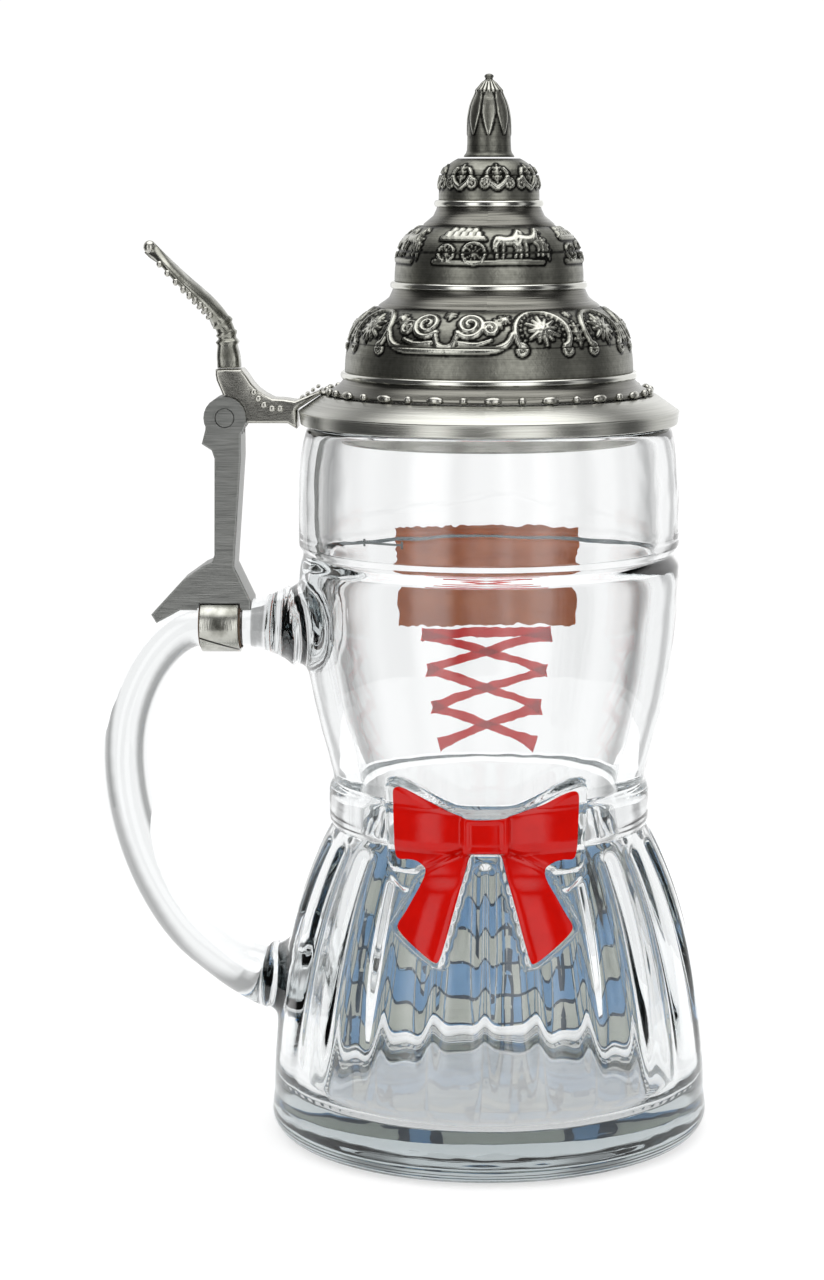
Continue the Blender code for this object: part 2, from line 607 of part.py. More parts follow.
def lid_flange():
    """The turned rim of the lid, with a lip that keeps it centred in the glass."""
    lip = RIM_RADIUS - RIM_WALL - LIP_CLEARANCE
    inner = DOME_FOOT_RADIUS - 3 * LID_WALL
    band_top = FLANGE_BOTTOM + FLANGE_BAND
    shelf = FLANGE_RADIUS - 1.5 * FLANGE_BEVEL
    profile = [(shelf, FLANGE_TOP), (FLANGE_RADIUS, band_top), (FLANGE_RADIUS, FLANGE_BOTTOM),
               (lip, FLANGE_BOTTOM), (lip, FLANGE_BOTTOM - LIP_DEPTH),
               (lip - LIP_WALL, FLANGE_BOTTOM - LIP_DEPTH), (lip - LIP_WALL, FLANGE_BOTTOM + 0.0008),
               (inner, band_top), (inner, FLANGE_TOP)]
    turned("lid_flange", profile, BRIGHT, ring=True, steps=64)


def dome_arc(radius, top, height, z):
    """Outer side of one dome, from its foot up to where it turns in."""
    return bezier((radius, z), (radius, z + 0.50 * height), (0.94 * radius, z + 0.82 * height),
                  (top, z + height), 5)


def step_rings(below, above, z, height):
    """The hollow and the bright ring between a wide foot and the dome above it."""
    return [(below, z), (below - 0.0004, z + 0.0007), (above + 0.0016, z + 0.0018),
            (above + 0.0006, z + height - 0.0021), (above + 0.0006, z + height - 0.0008),
            (above, z + height - 0.0004)]


def lid_dome():
    """Three hollow domes, cast as one, each smaller than the one below."""
    z = FLANGE_TOP + GAP
    outer = []
    inner = [(DOME_FOOT_RADIUS - 2 * LID_WALL, z)]
    below = DOME_FOOT_RADIUS
    for step, height, foot_share, top_share in DOMES:
        radius = below * foot_share
        outer += step_rings(below, radius, z, step)
        z += step
        arc = dome_arc(radius, radius * top_share, height, z)
        outer += arc
        inner += [(r - LID_WALL, level - LID_WALL) for r, level in arc[::2]]
        below = radius * top_share
        z += height
    profile = [(0, z)] + outer[::-1] + inner + [(0, z - LID_WALL)]
    turned("lid_dome", profile, DARK)
    return z


def lid_finial(bottom):
    """A bud on a short stem, under a ribbed point with a ball on it."""
    low = bottom + GAP
    bud = [(0.00, 1.000), (0.14, 0.995), (0.19, 0.975), (0.19, 0.955), (0.37, 0.860), (0.54, 0.775),
           (0.74, 0.640), (0.83, 0.500), (0.88, 0.250), (0.90, 0.100), (0.97, 0.030), (1.00, 0.000)]
    profile = [(r * FINIAL_RADIUS, low + h * FINIAL_HEIGHT) for r, h in bud]
    turned("lid_finial", profile + [(0, low)], DARK, steps=24)


glass_mug()
bow_enamel()
prints()
oval("handle_liner", LINER_IN, LINER_WIDTH, LINER, LINING)
oval("handle_strap", STRAP_IN, STRAP_WIDTH, STRAP, BRIGHT)
hinge_post()
hinge_pin()
thumblift(lid_arm())
lid_flange()
lid_finial(lid_dome())
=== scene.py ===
"""Half-litre glass mug shaped like a dress, with a hinged pewter lid: its finish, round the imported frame.

Metres, +Z up. The mug's axis is the Z axis. Its bow faces -Y, its prints +Y and its handle -X.
"""

from math import asin, atan2, cos, hypot, pi, radians, sin, sqrt

import bmesh
import bpy
from mathutils import Euler, Matrix, Vector, noise
from mathutils.geometry import interpolate_bezier


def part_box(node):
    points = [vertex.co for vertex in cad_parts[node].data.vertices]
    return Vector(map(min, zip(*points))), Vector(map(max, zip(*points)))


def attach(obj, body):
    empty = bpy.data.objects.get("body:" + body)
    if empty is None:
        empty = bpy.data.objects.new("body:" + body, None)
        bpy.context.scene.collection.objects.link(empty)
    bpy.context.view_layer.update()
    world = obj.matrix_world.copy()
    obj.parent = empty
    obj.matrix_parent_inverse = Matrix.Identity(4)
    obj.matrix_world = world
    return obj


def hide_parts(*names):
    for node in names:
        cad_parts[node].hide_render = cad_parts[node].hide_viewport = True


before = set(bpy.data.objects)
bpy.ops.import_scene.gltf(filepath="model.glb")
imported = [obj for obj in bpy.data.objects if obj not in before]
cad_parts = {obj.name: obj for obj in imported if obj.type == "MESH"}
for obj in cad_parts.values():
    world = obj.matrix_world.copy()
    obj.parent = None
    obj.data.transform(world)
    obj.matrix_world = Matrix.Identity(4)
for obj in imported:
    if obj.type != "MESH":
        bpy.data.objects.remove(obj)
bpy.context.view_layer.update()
scene = bpy.context.scene

# ---------------------------------------------------------------- camera, light and floor
# A long lens a little above the table. The light is a white tent with softboxes and dark
# flags between them, so that the glass gets dark edges and the metal long highlights. The
# flags stand between the eight main directions, and none is behind the mug in those views.
CAMERA_DISTANCE = 0.712
CAMERA_HEIGHT = 0.2189
CAMERA_TURN = radians(1.2)
CAMERA_TILT = radians(8.55)

camera = bpy.data.objects.new("camera", bpy.data.cameras.new("camera"))
camera.data.lens = 90
camera.data.sensor_width = 36
camera.data.shift_x = -0.0602
camera.location = (CAMERA_DISTANCE * sin(CAMERA_TURN), -CAMERA_DISTANCE * cos(CAMERA_TURN), CAMERA_HEIGHT)
camera.rotation_euler = (pi / 2 - CAMERA_TILT, 0, CAMERA_TURN)
scene.collection.objects.link(camera)
scene.camera = camera
scene.view_settings.view_transform = "Standard"
# light gets through the glass's many walls only if it may be bent often enough
scene.cycles.max_bounces = 28
scene.cycles.transmission_bounces = 28
scene.cycles.glossy_bounces = 8
scene.cycles.diffuse_bounces = 6
scene.cycles.caustics_refractive = True
scene.cycles.caustics_reflective = True


def add_node(tree, kind, inputs=None, **settings):
    """A shader node with its settings. Each input is a value, or the output that feeds it."""
    node = tree.nodes.new("ShaderNode" + kind)
    for name, value in settings.items():
        setattr(node, name, value)
    for name, value in (inputs or {}).items():
        if isinstance(value, bpy.types.NodeSocket):
            tree.links.new(value, node.inputs[name])
        else:
            node.inputs[name].default_value = value
    return node


BACKDROP = 1.05  # what the camera sees behind the mug: just past white
OPEN_LIGHT = 1.22  # on paint and paper: even, from everywhere
DARK_STUDIO = 0.055  # what metal reflects between the strips of light
# upright strips of light that metal reflects: azimuth from the camera's side, half-width, strength
STRIPS = [(-34, 12, 1.9), (24, 16, 1.9), (76, 8, 0.65), (-138, 24, 1.2), (142, 26, 1.1)]
BACK_STRIP = 1.0
OVERHEAD = 2.6
FLAG_STEP = radians(45)
FLAG_HALF = radians(6.5)
FLAG_LIGHT = 0.42

world = bpy.data.worlds.new("studio")
world.use_nodes = True
scene.world = world
tree = world.node_tree
tree.nodes.clear()
facing = add_node(tree, "TexCoord").outputs["Generated"]
split = add_node(tree, "SeparateXYZ", {0: facing})
ahead = add_node(tree, "Math", {0: split.outputs["Y"], 1: -1.0}, operation="MULTIPLY")
azimuth = add_node(tree, "Math", {0: split.outputs["X"], 1: ahead.outputs[0]}, operation="ARCTAN2").outputs[0]
studio = 0.0
for centre, half, strength in STRIPS:
    off = add_node(tree, "Math", {0: azimuth, 1: radians(centre)}, operation="SUBTRACT")
    off = add_node(tree, "Math", {0: off.outputs[0]}, operation="ABSOLUTE")
    glow = add_node(tree, "MapRange", {"Value": off.outputs[0], "From Min": radians(half * 1.4),
                                       "From Max": radians(half * 0.6), "To Max": strength},
                    interpolation_type="SMOOTHSTEP")
    studio = add_node(tree, "Math", {0: studio, 1: glow.outputs["Result"]}, operation="ADD").outputs[0]
behind = add_node(tree, "Math", {0: azimuth}, operation="ABSOLUTE")
glow = add_node(tree, "MapRange", {"Value": behind.outputs[0], "From Min": radians(158), "From Max": radians(172),
                                   "To Max": BACK_STRIP}, interpolation_type="SMOOTHSTEP")
studio = add_node(tree, "Math", {0: studio, 1: glow.outputs["Result"]}, operation="ADD").outputs[0]
strip_tops = add_node(tree, "MapRange", {"Value": split.outputs["Z"], "From Min": 0.72, "From Max": 0.45},
                      interpolation_type="SMOOTHSTEP")
studio = add_node(tree, "Math", {0: studio, 1: strip_tops.outputs["Result"], 2: DARK_STUDIO},
                  operation="MULTIPLY_ADD").outputs[0]
above = add_node(tree, "MapRange", {"Value": split.outputs["Z"], "From Min": 0.70, "From Max": 0.90,
                                    "To Max": OVERHEAD}, interpolation_type="SMOOTHSTEP")
studio = add_node(tree, "Math", {0: studio, 1: above.outputs["Result"]}, operation="ADD").outputs[0]
from_flag = add_node(tree, "Math", {0: azimuth, 1: FLAG_STEP / 2}, operation="ADD")
from_flag = add_node(tree, "Math", {0: from_flag.outputs[0], 1: FLAG_STEP / 2}, operation="PINGPONG")
between = add_node(tree, "MapRange", {"Value": from_flag.outputs[0], "From Min": FLAG_HALF * 0.4,
                                      "From Max": FLAG_HALF * 1.8, "To Min": FLAG_LIGHT,
                                      "To Max": BACKDROP}, interpolation_type="SMOOTHSTEP")
path = add_node(tree, "LightPath")
shine = add_node(tree, "Mix", {"Factor": path.outputs["Is Glossy Ray"], 2: OPEN_LIGHT, 3: studio})
through = add_node(tree, "Mix", {"Factor": path.outputs["Is Transmission Ray"], 2: shine.outputs[0],
                                 3: between.outputs["Result"]})
seen = add_node(tree, "Mix", {"Factor": path.outputs["Is Camera Ray"], 2: through.outputs[0], 3: BACKDROP})
light = add_node(tree, "Background", {"Color": (1, 1, 1, 1), "Strength": seen.outputs[0]})
add_node(tree, "OutputWorld", {"Surface": light.outputs[0]})


def linear(colour):
    """The linear colour of an sRGB hex value, opaque."""
    parts = [int(colour[i:i + 2], 16) / 255 for i in (1, 3, 5)]
    return (*(c / 12.92 if c <= 0.04045 else ((c + 0.055) / 1.055) ** 2.4 for c in parts), 1.0)


def new_material(name, colour, roughness, metallic=0.0):
    """A named material, with its node tree and its Principled shader."""
    made = bpy.data.materials.new(name)
    made.use_nodes = True
    shader = made.node_tree.nodes["Principled BSDF"]
    shader.inputs["Base Color"].default_value = linear(colour)
    shader.inputs["Roughness"].default_value = roughness
    shader.inputs["Metallic"].default_value = metallic
    return made, made.node_tree, shader


def new_piece(bm, name, material, merge=1e-6):
    """The smooth-shaded object of a bmesh, with its doubles merged and its faces pointing out."""
    bmesh.ops.remove_doubles(bm, verts=bm.verts, dist=merge)
    bmesh.ops.recalc_face_normals(bm, faces=bm.faces)
    mesh = bpy.data.meshes.new(name)
    bm.to_mesh(mesh)
    bm.free()
    mesh.materials.append(material)
    mesh.shade_smooth()
    piece = bpy.data.objects.new(name, mesh)
    scene.collection.objects.link(piece)
    return piece


FLOOR_RADIUS = 0.30
FLOOR_DROP = 0.0002  # the floor lies this far below the mug's base

# white acrylic, lit from under, so that the mug hardly shades it
paper, tree, shader = new_material("white_light_table", "#C4C4C4", 0.9)
shader.inputs["Emission Color"].default_value = (1, 1, 1, 1)
shader.inputs["Emission Strength"].default_value = 0.55
bm = bmesh.new()
bmesh.ops.create_circle(bm, cap_ends=True, segments=96, radius=FLOOR_RADIUS)
bmesh.ops.translate(bm, vec=(0, 0, -FLOOR_DROP), verts=bm.verts)
floor = new_piece(bm, "floor", paper)

# ---------------------------------------------------------------- glass mug
# Soda-lime glass, pressed in a mould in one piece with its pleats, belt, bow and handle, and
# fire-polished. The wall is thick and slightly rippled, the floor thicker, and the bearing
# ring under it is stippled.
low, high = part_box("glass_mug")
GLASS_TOP = high.z
BASE_RADIUS = high.x
HANDLE_OUT = low.x  # the handle's outermost point
FOOT_HEIGHT = 0.0092
BELT_BOTTOM = 0.0707
BELT_TOP = 0.0802
GROOVE_Z = 0.1316
HEM_RADIUS = 0.0491
WAIST_RADIUS = 0.0350
BELT_STAND = 0.0011
BUST_RADIUS = 0.0425
RIM_RADIUS = 0.0408
HEEL_ROUND = 0.0046
GROOVE_WIDTH = 0.0050
GROOVE_DEPTH = 0.0012
FLOOR = 0.0100
FLOOR_ROUND = 0.0030
SKIRT_WALL = 0.0078
BODICE_WALL = 0.0060
RIM_WALL = 0.0045
PUSH_UP = 0.0008  # the hollow under the base
BEARING_RING = (0.0400, 0.0446)
STIPPLES = 72
PLEATS = 24
PLEAT_DEPTH = 0.0014
COLUMNS = 288  # round the mug, closest at the bow
CROWDING = 0.3


def arc(start, start_handle, end_handle, end, count):
    """Points (r, z) along one Bezier arc, both ends included."""
    return [tuple(p) for p in interpolate_bezier(start, start_handle, end_handle, end, count)]


skirt_height = BELT_BOTTOM - FOOT_HEIGHT
bodice_height = GROOVE_Z - BELT_TOP
collar_height = GLASS_TOP - GROOVE_Z
spread = HEM_RADIUS - WAIST_RADIUS
skirt = arc((HEM_RADIUS, FOOT_HEIGHT), (HEM_RADIUS - 0.02 * spread, FOOT_HEIGHT + 0.39 * skirt_height),
            (HEM_RADIUS - 0.28 * spread, FOOT_HEIGHT + 0.715 * skirt_height),
            (WAIST_RADIUS + 0.0003, BELT_BOTTOM), 60)
belt_middle = (BELT_BOTTOM + BELT_TOP) / 2
belt = [(WAIST_RADIUS + BELT_STAND * (1 - abs(t) ** 5) ** 0.5, belt_middle + t * (BELT_TOP - BELT_BOTTOM) / 2)
        for t in [n / 12 for n in range(-11, 12)]]
bodice = arc((WAIST_RADIUS, BELT_TOP + 0.0004), (WAIST_RADIUS + 0.0011, BELT_TOP + 0.16 * bodice_height),
             (BUST_RADIUS - 0.0002, BELT_TOP + 0.42 * bodice_height),
             (BUST_RADIUS, GROOVE_Z - GROOVE_WIDTH / 2), 60)
groove = [(BUST_RADIUS - GROOVE_DEPTH * (1 + cos(pi * t)) / 2, GROOVE_Z + t * GROOVE_WIDTH / 2)
          for t in [n / 7 for n in range(-6, 7)]]
collar = arc((BUST_RADIUS, GROOVE_Z + GROOVE_WIDTH / 2), (BUST_RADIUS, GROOVE_Z + 0.55 * collar_height),
             (BUST_RADIUS, GROOVE_Z + 0.75 * collar_height), (RIM_RADIUS, GLASS_TOP - RIM_WALL / 3), 30)
wall = skirt + belt + bodice + groove + collar


def height_along(profile, z):
    """The radius of a profile that climbs steadily, at this height."""
    for (low_r, low_z), (high_r, high_z) in zip(profile, profile[1:]):
        if z <= high_z:
            share = max(0.0, (z - low_z) / (high_z - low_z))
            return low_r + (high_r - low_r) * share
    return profile[-1][0]


def smooth_step(low, high, value):
    """0 below low, 1 above high, and an even S between."""
    share = min(1.0, max(0.0, (value - low) / (high - low)))
    return share * share * (3 - 2 * share)


def pleat(angle, z):
    """How deep the valley between two pleats is here. It runs out at the belt and the foot."""
    fade = smooth_step(0.010, 0.054, z) * (1 - smooth_step(BELT_BOTTOM - 0.0045, BELT_BOTTOM - 0.0012, z))
    return PLEAT_DEPTH * fade * ((1 + cos(PLEATS * angle)) / 2) ** 3


# Right half of the moulded bow seen from the front: (x, height above the belt's middle)
BOW_HALF = [(0.0000, 0.0042), (0.0032, 0.0042), (0.0060, 0.0047), (0.0088, 0.0058), (0.0124, 0.0076),
            (0.0157, 0.0093), (0.0180, 0.0101), (0.0198, 0.0104), (0.0209, 0.0098), (0.0211, 0.0085),
            (0.0208, 0.0000), (0.0205, -0.0078), (0.0198, -0.0090), (0.0170, -0.0092), (0.0138, -0.0090),
            (0.0160, -0.0130), (0.0182, -0.0166), (0.0201, -0.0196), (0.0197, -0.0212),
            (0.0150, -0.0250), (0.0106, -0.0284), (0.0092, -0.0281), (0.0078, -0.0230), (0.0056, -0.0150),
            (0.0036, -0.0080), (0.0030, -0.0050), (0.0000, -0.0050)]
BOW_RELIEF = 0.0020
BOW_EDGE = 0.0008  # how wide the relief's rounded edge is
KNOT = (0.0046, 0.0044)  # half-width and half-height
KNOT_RELIEF = 0.0014
SCALLOP = (0.0168, -0.0100, 0.0046, 0.0036)  # the clear lobe under each loop: x, z, half-sizes


def mirrored(half):
    """A closed outline from its right half."""
    return half + [(-x, z) for x, z in half[-2:0:-1]]


def depth_inside(x, z, outline):
    """How far a point is inside an outline, or, below zero, outside it."""
    nearest = 1.0
    inside = False
    for (ax, az), (bx, bz) in zip(outline, outline[1:] + outline[:1]):
        ex, ez = bx - ax, bz - az
        along = min(1.0, max(0.0, ((x - ax) * ex + (z - az) * ez) / (ex * ex + ez * ez)))
        nearest = min(nearest, hypot(x - ax - along * ex, z - az - along * ez))
        if (az > z) != (bz > z) and x < ax + (z - az) * ex / ez:
            inside = not inside
    return nearest if inside else -nearest


bow = mirrored(BOW_HALF)


def bow_relief(x, z):
    """Height of the moulded bow over the dress, at this point seen from the front."""
    up = z - belt_middle
    if abs(x) > 0.0225 or not -0.030 < up < 0.012:
        return 0.0
    body = BOW_RELIEF * smooth_step(-BOW_EDGE / 2, BOW_EDGE / 2, depth_inside(x, up, bow))
    sx, sz, wide, tall = SCALLOP
    reach = hypot((abs(x) - sx) / wide, (up - sz) / tall)
    lobe = 0.55 * BOW_RELIEF * (1 - smooth_step(0.6, 1.05, reach))
    # the loops sink a little towards the knot, and the tails are rounded across
    loop = 0.0005 * smooth_step(0.004, 0.012, abs(x)) * smooth_step(-0.0095, -0.006, up)
    tail_middle = 0.0072 + 0.36 * (-up - 0.006)
    tail = 0.0008 * max(0.0, 1 - ((abs(x) - tail_middle) / 0.0058) ** 2) * smooth_step(-0.0085, -0.013, up) \
        if up < -0.0085 else 0.0
    crease = 0.0007 * max(0.0, 1 - abs(up + 0.0038 + 0.55 * (abs(x) - 0.0046)) / 0.0010) \
        if 0.0046 < abs(x) < 0.0140 else 0.0
    frame_in = min(KNOT[0] - abs(x), KNOT[1] - abs(up + 0.0004))
    knot = KNOT_RELIEF * smooth_step(-0.0004, 0.0004, frame_in) * (1 - 0.35 * smooth_step(0.0010, 0.0018, frame_in))
    share = smooth_step(0.0, BOW_EDGE, depth_inside(x, up, bow))
    return max(body, lobe) + share * (loop + tail - crease + knot)


def wall_radius(z):
    """Outer radius of the plain wall."""
    return height_along(wall, z)


def dress_radius(angle, z):
    """Outer radius of the wall with its pleats and its bow. The angle is from the front."""
    plain = wall_radius(z)
    relief = bow_relief(plain * sin(angle), z) if abs(angle) < 0.7 else 0.0
    return plain - pleat(angle, z) * (1 - min(1.0, relief / BOW_RELIEF)) + relief


def even_steps(profile, spacing):
    """The profile again, with a point about every spacing(z) along it."""
    out = [profile[0]]
    left = spacing(profile[0][1])
    for (ar, az), (br, bz) in zip(profile, profile[1:]):
        length = hypot(br - ar, bz - az)
        gone = 0.0
        while length - gone >= left:
            gone += left
            out.append((ar + (br - ar) * gone / length, az + (bz - az) * gone / length))
            left = spacing(out[-1][1])
        left -= length - gone
    if hypot(out[-1][0] - profile[-1][0], out[-1][1] - profile[-1][1]) < 0.0002:
        out.pop()
    return out + [profile[-1]]


def glass_spacing(z):
    """Row spacing: fine over the bow, the groove and the foot, coarse elsewhere."""
    if belt_middle - 0.031 < z < belt_middle + 0.013:
        return 0.00046
    if abs(z - GROOVE_Z) < 0.004 or z < 0.012 or z > GLASS_TOP - 0.003:
        return 0.0006
    return 0.0014


def spun(profile, steps, closed=False):
    """A bmesh of an (r, z) profile turned about the Z axis, starting at the front."""
    bm = bmesh.new()
    verts = [bm.verts.new((0, -r, z)) for r, z in profile]
    pairs = list(zip(verts, verts[1:]))
    if closed:
        pairs.append((verts[-1], verts[0]))
    edges = [bm.edges.new(pair) for pair in pairs]
    bmesh.ops.spin(bm, geom=verts + edges, cent=(0, 0, 0), axis=(0, 0, 1), angle=2 * pi, steps=steps,
                   use_merge=True)
    bmesh.ops.remove_doubles(bm, verts=bm.verts, dist=1e-6)
    return bm


ring_in, ring_out = BEARING_RING
base = [(0, PUSH_UP), (0.030, PUSH_UP), (ring_in - 0.0010, PUSH_UP * 0.4), (ring_in, 0), (ring_out, 0)]
heel = [(BASE_RADIUS - HEEL_ROUND * (1 - cos(a)), HEEL_ROUND * (1 - sin(a)))
        for a in [pi / 2 * (8 - n) / 8 for n in range(9)]]
lip = [(RIM_RADIUS - RIM_WALL / 2 + RIM_WALL / 2 * cos(a), GLASS_TOP - RIM_WALL / 3 + RIM_WALL / 3 * sin(a))
       for a in [pi * n / 12 for n in range(1, 12)]]
inner = [(r - RIM_WALL, z) for r, z in collar[::-1]]
inner += [(r - BODICE_WALL, z) for r, z in bodice[::-3]]
inner += [(r - SKIRT_WALL, z) for r, z in skirt[::-3] if FLOOR + FLOOR_ROUND < z < BELT_BOTTOM - 0.002]
corner = height_along(skirt, FLOOR + FLOOR_ROUND) - SKIRT_WALL - FLOOR_ROUND
inner += [(corner + FLOOR_ROUND * cos(a), FLOOR + FLOOR_ROUND * (1 - sin(a)))
          for a in [pi / 2 * n / 9 for n in range(10)]]
outline = even_steps(base[:3], lambda z: 0.0030) + even_steps(base[3:] + heel + wall + lip, glass_spacing)
outline += even_steps(inner + [(0, FLOOR)], lambda z: 0.0024)
bm = spun(outline, COLUMNS)
for v in bm.verts:
    radius = v.co.xy.length
    angle = atan2(v.co.x, -v.co.y)
    angle -= CROWDING * sin(angle)
    z = v.co.z
    if FOOT_HEIGHT <= z <= GLASS_TOP - RIM_WALL / 3 and abs(radius - wall_radius(z)) < 0.0005:
        radius = dress_radius(angle, z)
    elif z < 0.0001 and ring_in < radius < ring_out:
        z += 0.00035 * (1 + cos(STIPPLES * angle)) / 2
    v.co = (radius * sin(angle), -radius * cos(angle), z)

glass = new_material("clear_pressed_glass", "#FFFFFF", 0.012)[0]
mug = new_piece(bm, "mug", glass)

# The handle: an oval bar bent into a D, with a trumpet at each root
strap_low, strap_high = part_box("handle_strap")
HANDLE_Z = (strap_low.z + strap_high.z) / 2
HANDLE_THICKNESS = 0.0102
HANDLE_WIDTH = 0.0150
HANDLE_REACH = -HANDLE_OUT - HANDLE_THICKNESS / 2
HANDLE_DROP = 0.0305
HANDLE_FOOT_Z = 0.0343
ROOT_REACH = 0.0165  # how far from a root's middle the wall is smoothed into it
foot_radius = wall_radius(HANDLE_FOOT_Z)
strap_x = (strap_low.x + strap_high.x) / 2
strap_half = (strap_high.x - strap_low.x) / 2
# each knot: x, z, the direction and length of its Bezier handle, thickness
knots = [(-BUST_RADIUS + 0.0048, HANDLE_Z, -0.0016, 0, 2.30),
         (-BUST_RADIUS - 0.0004, HANDLE_Z, -0.0014, 0, 2.00),
         (-BUST_RADIUS - 0.0036, HANDLE_Z, -0.0014, 0, 1.52),
         (-BUST_RADIUS - 0.0080, HANDLE_Z, -0.0018, 0, 1.16),
         (strap_x + strap_half + 0.0014, HANDLE_Z, -0.0020, 0, 1.0),
         (strap_x - strap_half - 0.0006, HANDLE_Z, -0.0060, 0, 1.0),
         (-HANDLE_REACH, HANDLE_Z - HANDLE_DROP, 0, -0.0185, 1.01),
         (-(HANDLE_REACH + foot_radius) / 2, HANDLE_FOOT_Z + 0.0082, 0.0085, -0.0068, 1.05),
         (-foot_radius - 0.0068, HANDLE_FOOT_Z + 0.0010, 0.0026, -0.0012, 1.14),
         (-foot_radius - 0.0018, HANDLE_FOOT_Z - 0.0001, 0.0016, -0.0002, 1.52),
         (-foot_radius + 0.0036, HANDLE_FOOT_Z, 0.0016, 0, 2.00)]


def swept_bar(name, knots, thickness, resolution, sides):
    """The mesh of a round bar in the XZ plane."""
    curve = bpy.data.curves.new(name, "CURVE")
    curve.dimensions = "3D"
    curve.bevel_depth = thickness / 2
    curve.bevel_resolution = sides
    curve.use_fill_caps = True
    curve.resolution_u = resolution
    spline = curve.splines.new("BEZIER")
    spline.radius_interpolation = "BSPLINE"
    spline.bezier_points.add(len(knots) - 1)
    for point, (x, z, dx, dz, factor) in zip(spline.bezier_points, knots):
        point.co = (x, 0, z)
        point.handle_left = (x - dx, 0, z - dz)
        point.handle_right = (x + dx, 0, z + dz)
        point.radius = factor
    shape = bpy.data.objects.new(name + "_curve", curve)
    scene.collection.objects.link(shape)
    mesh = bpy.data.meshes.new_from_object(shape.evaluated_get(bpy.context.evaluated_depsgraph_get()))
    bpy.data.objects.remove(shape)
    return mesh


def combined(piece, tool, operation):
    """The bmesh of a piece after an exact Boolean with the tool, which is used up."""
    change = piece.modifiers.new(operation.lower(), "BOOLEAN")
    change.object = tool
    change.operation = operation
    change.solver = "EXACT"
    mesh = bpy.data.meshes.new_from_object(piece.evaluated_get(bpy.context.evaluated_depsgraph_get()))
    piece.modifiers.remove(change)
    bpy.data.objects.remove(tool)
    bm = bmesh.new()
    bm.from_mesh(mesh)
    bpy.data.meshes.remove(mesh)
    return bm


bm = bmesh.new()
bm.from_mesh(swept_bar("handle", knots, HANDLE_THICKNESS, 14, 10))
bmesh.ops.scale(bm, vec=(1, HANDLE_WIDTH / HANDLE_THICKNESS, 1), verts=bm.verts)
bm = combined(mug, new_piece(bm, "handle", glass), "UNION")
bmesh.ops.remove_doubles(bm, verts=bm.verts, dist=0.00006)
bmesh.ops.triangulate(bm, faces=[f for f in bm.faces if len(f.verts) > 4])
for root_z, near in ((HANDLE_Z, 0.0030), (HANDLE_FOOT_Z, 0.0026)):
    def at_root(v, reach):
        """Whether a vertex is on the outside, close to where the bar meets the wall."""
        return v.co.x < -0.035 and abs(v.co.z - root_z) < ROOT_REACH and abs(v.co.y) < ROOT_REACH \
            and -0.0018 < v.co.xy.length - wall_radius(v.co.z) < reach
    for _ in range(14):
        bmesh.ops.smooth_vert(bm, verts=[v for v in bm.verts if at_root(v, near)], factor=0.5,
                              use_axis_x=True, use_axis_y=True, use_axis_z=True)
bm.to_mesh(mug.data)
bm.free()
mug.data.shade_smooth()

# Soda-lime glass, IOR 1.52: a faint green-grey in its thick edges, and fire-polish ripples
# about 9 mm long that make what is behind it swim a little.
tree = glass.node_tree
shader = tree.nodes["Principled BSDF"]
shader.inputs["Transmission Weight"].default_value = 1.0
shader.inputs["IOR"].default_value = 1.52
RIPPLE = 0.009
place = add_node(tree, "TexCoord").outputs["Object"]
ripple = add_node(tree, "TexNoise", {"Vector": place, "Scale": 1 / RIPPLE, "Detail": 1.0})
tree.links.new(add_node(tree, "Bump", {"Height": ripple.outputs["Fac"], "Strength": 0.35,
                                       "Distance": 0.0002}).outputs["Normal"], shader.inputs["Normal"])
tint = add_node(tree, "VolumeAbsorption", {"Color": linear("#C4CCCE"), "Density": 20.0})
tree.links.new(tint.outputs["Volume"], tree.nodes["Material Output"].inputs["Volume"])
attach(mug, "mug")
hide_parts("glass_mug")

# ---------------------------------------------------------------- fill line
# The line that a measure is filled to, with a tick at each end, screened on in grey ceramic
# ink and fired. It is on the left of the front, at the half-litre level.
FILL_LEVEL = 0.1379
FILL_MIDDLE = radians(-31)
FILL_HALF = radians(6.5)
FILL_LINE = 0.00045
INK_GAP = 0.00004  # between the glass and every print
INK = 0.00010  # a print's thickness
INK_STAND = INK_GAP + INK


def printed(name, across, up, material, place_at):
    """A thin closed patch of ink: a grid over (across, up), put on the glass by place_at."""
    bm = bmesh.new()
    bmesh.ops.create_grid(bm, x_segments=across, y_segments=up, size=1)
    mesh = bpy.data.meshes.new(name)
    for v in bm.verts:
        v.co = place_at(v.co.x, v.co.y)
    bmesh.ops.remove_doubles(bm, verts=bm.verts, dist=1e-6)
    bmesh.ops.recalc_face_normals(bm, faces=bm.faces)
    first = next(iter(bm.faces))
    if first.normal.dot(Vector((*first.calc_center_median().xy, 0))) < 0:
        bmesh.ops.reverse_faces(bm, faces=bm.faces)
    bm.to_mesh(mesh)
    bm.free()
    mesh.materials.append(material)
    mesh.shade_smooth()
    piece = bpy.data.objects.new(name, mesh)
    scene.collection.objects.link(piece)
    ink = piece.modifiers.new("ink", "SOLIDIFY")
    ink.thickness = INK
    ink.offset = -1
    return piece


def on_glass(angle, z, out=0.0):
    """The point of the mug's outer wall at this angle from the front and this height."""
    radius = dress_radius(angle, z) + out
    return Vector((radius * sin(angle), -radius * cos(angle), z))


def fired_ink(name, colour):
    """A thin fired ink that lets some of the light behind it through."""
    made, tree, shader = new_material(name, colour, 0.85)
    shader.inputs["Transmission Weight"].default_value = 0.62
    shader.inputs["IOR"].default_value = 1.30
    return made


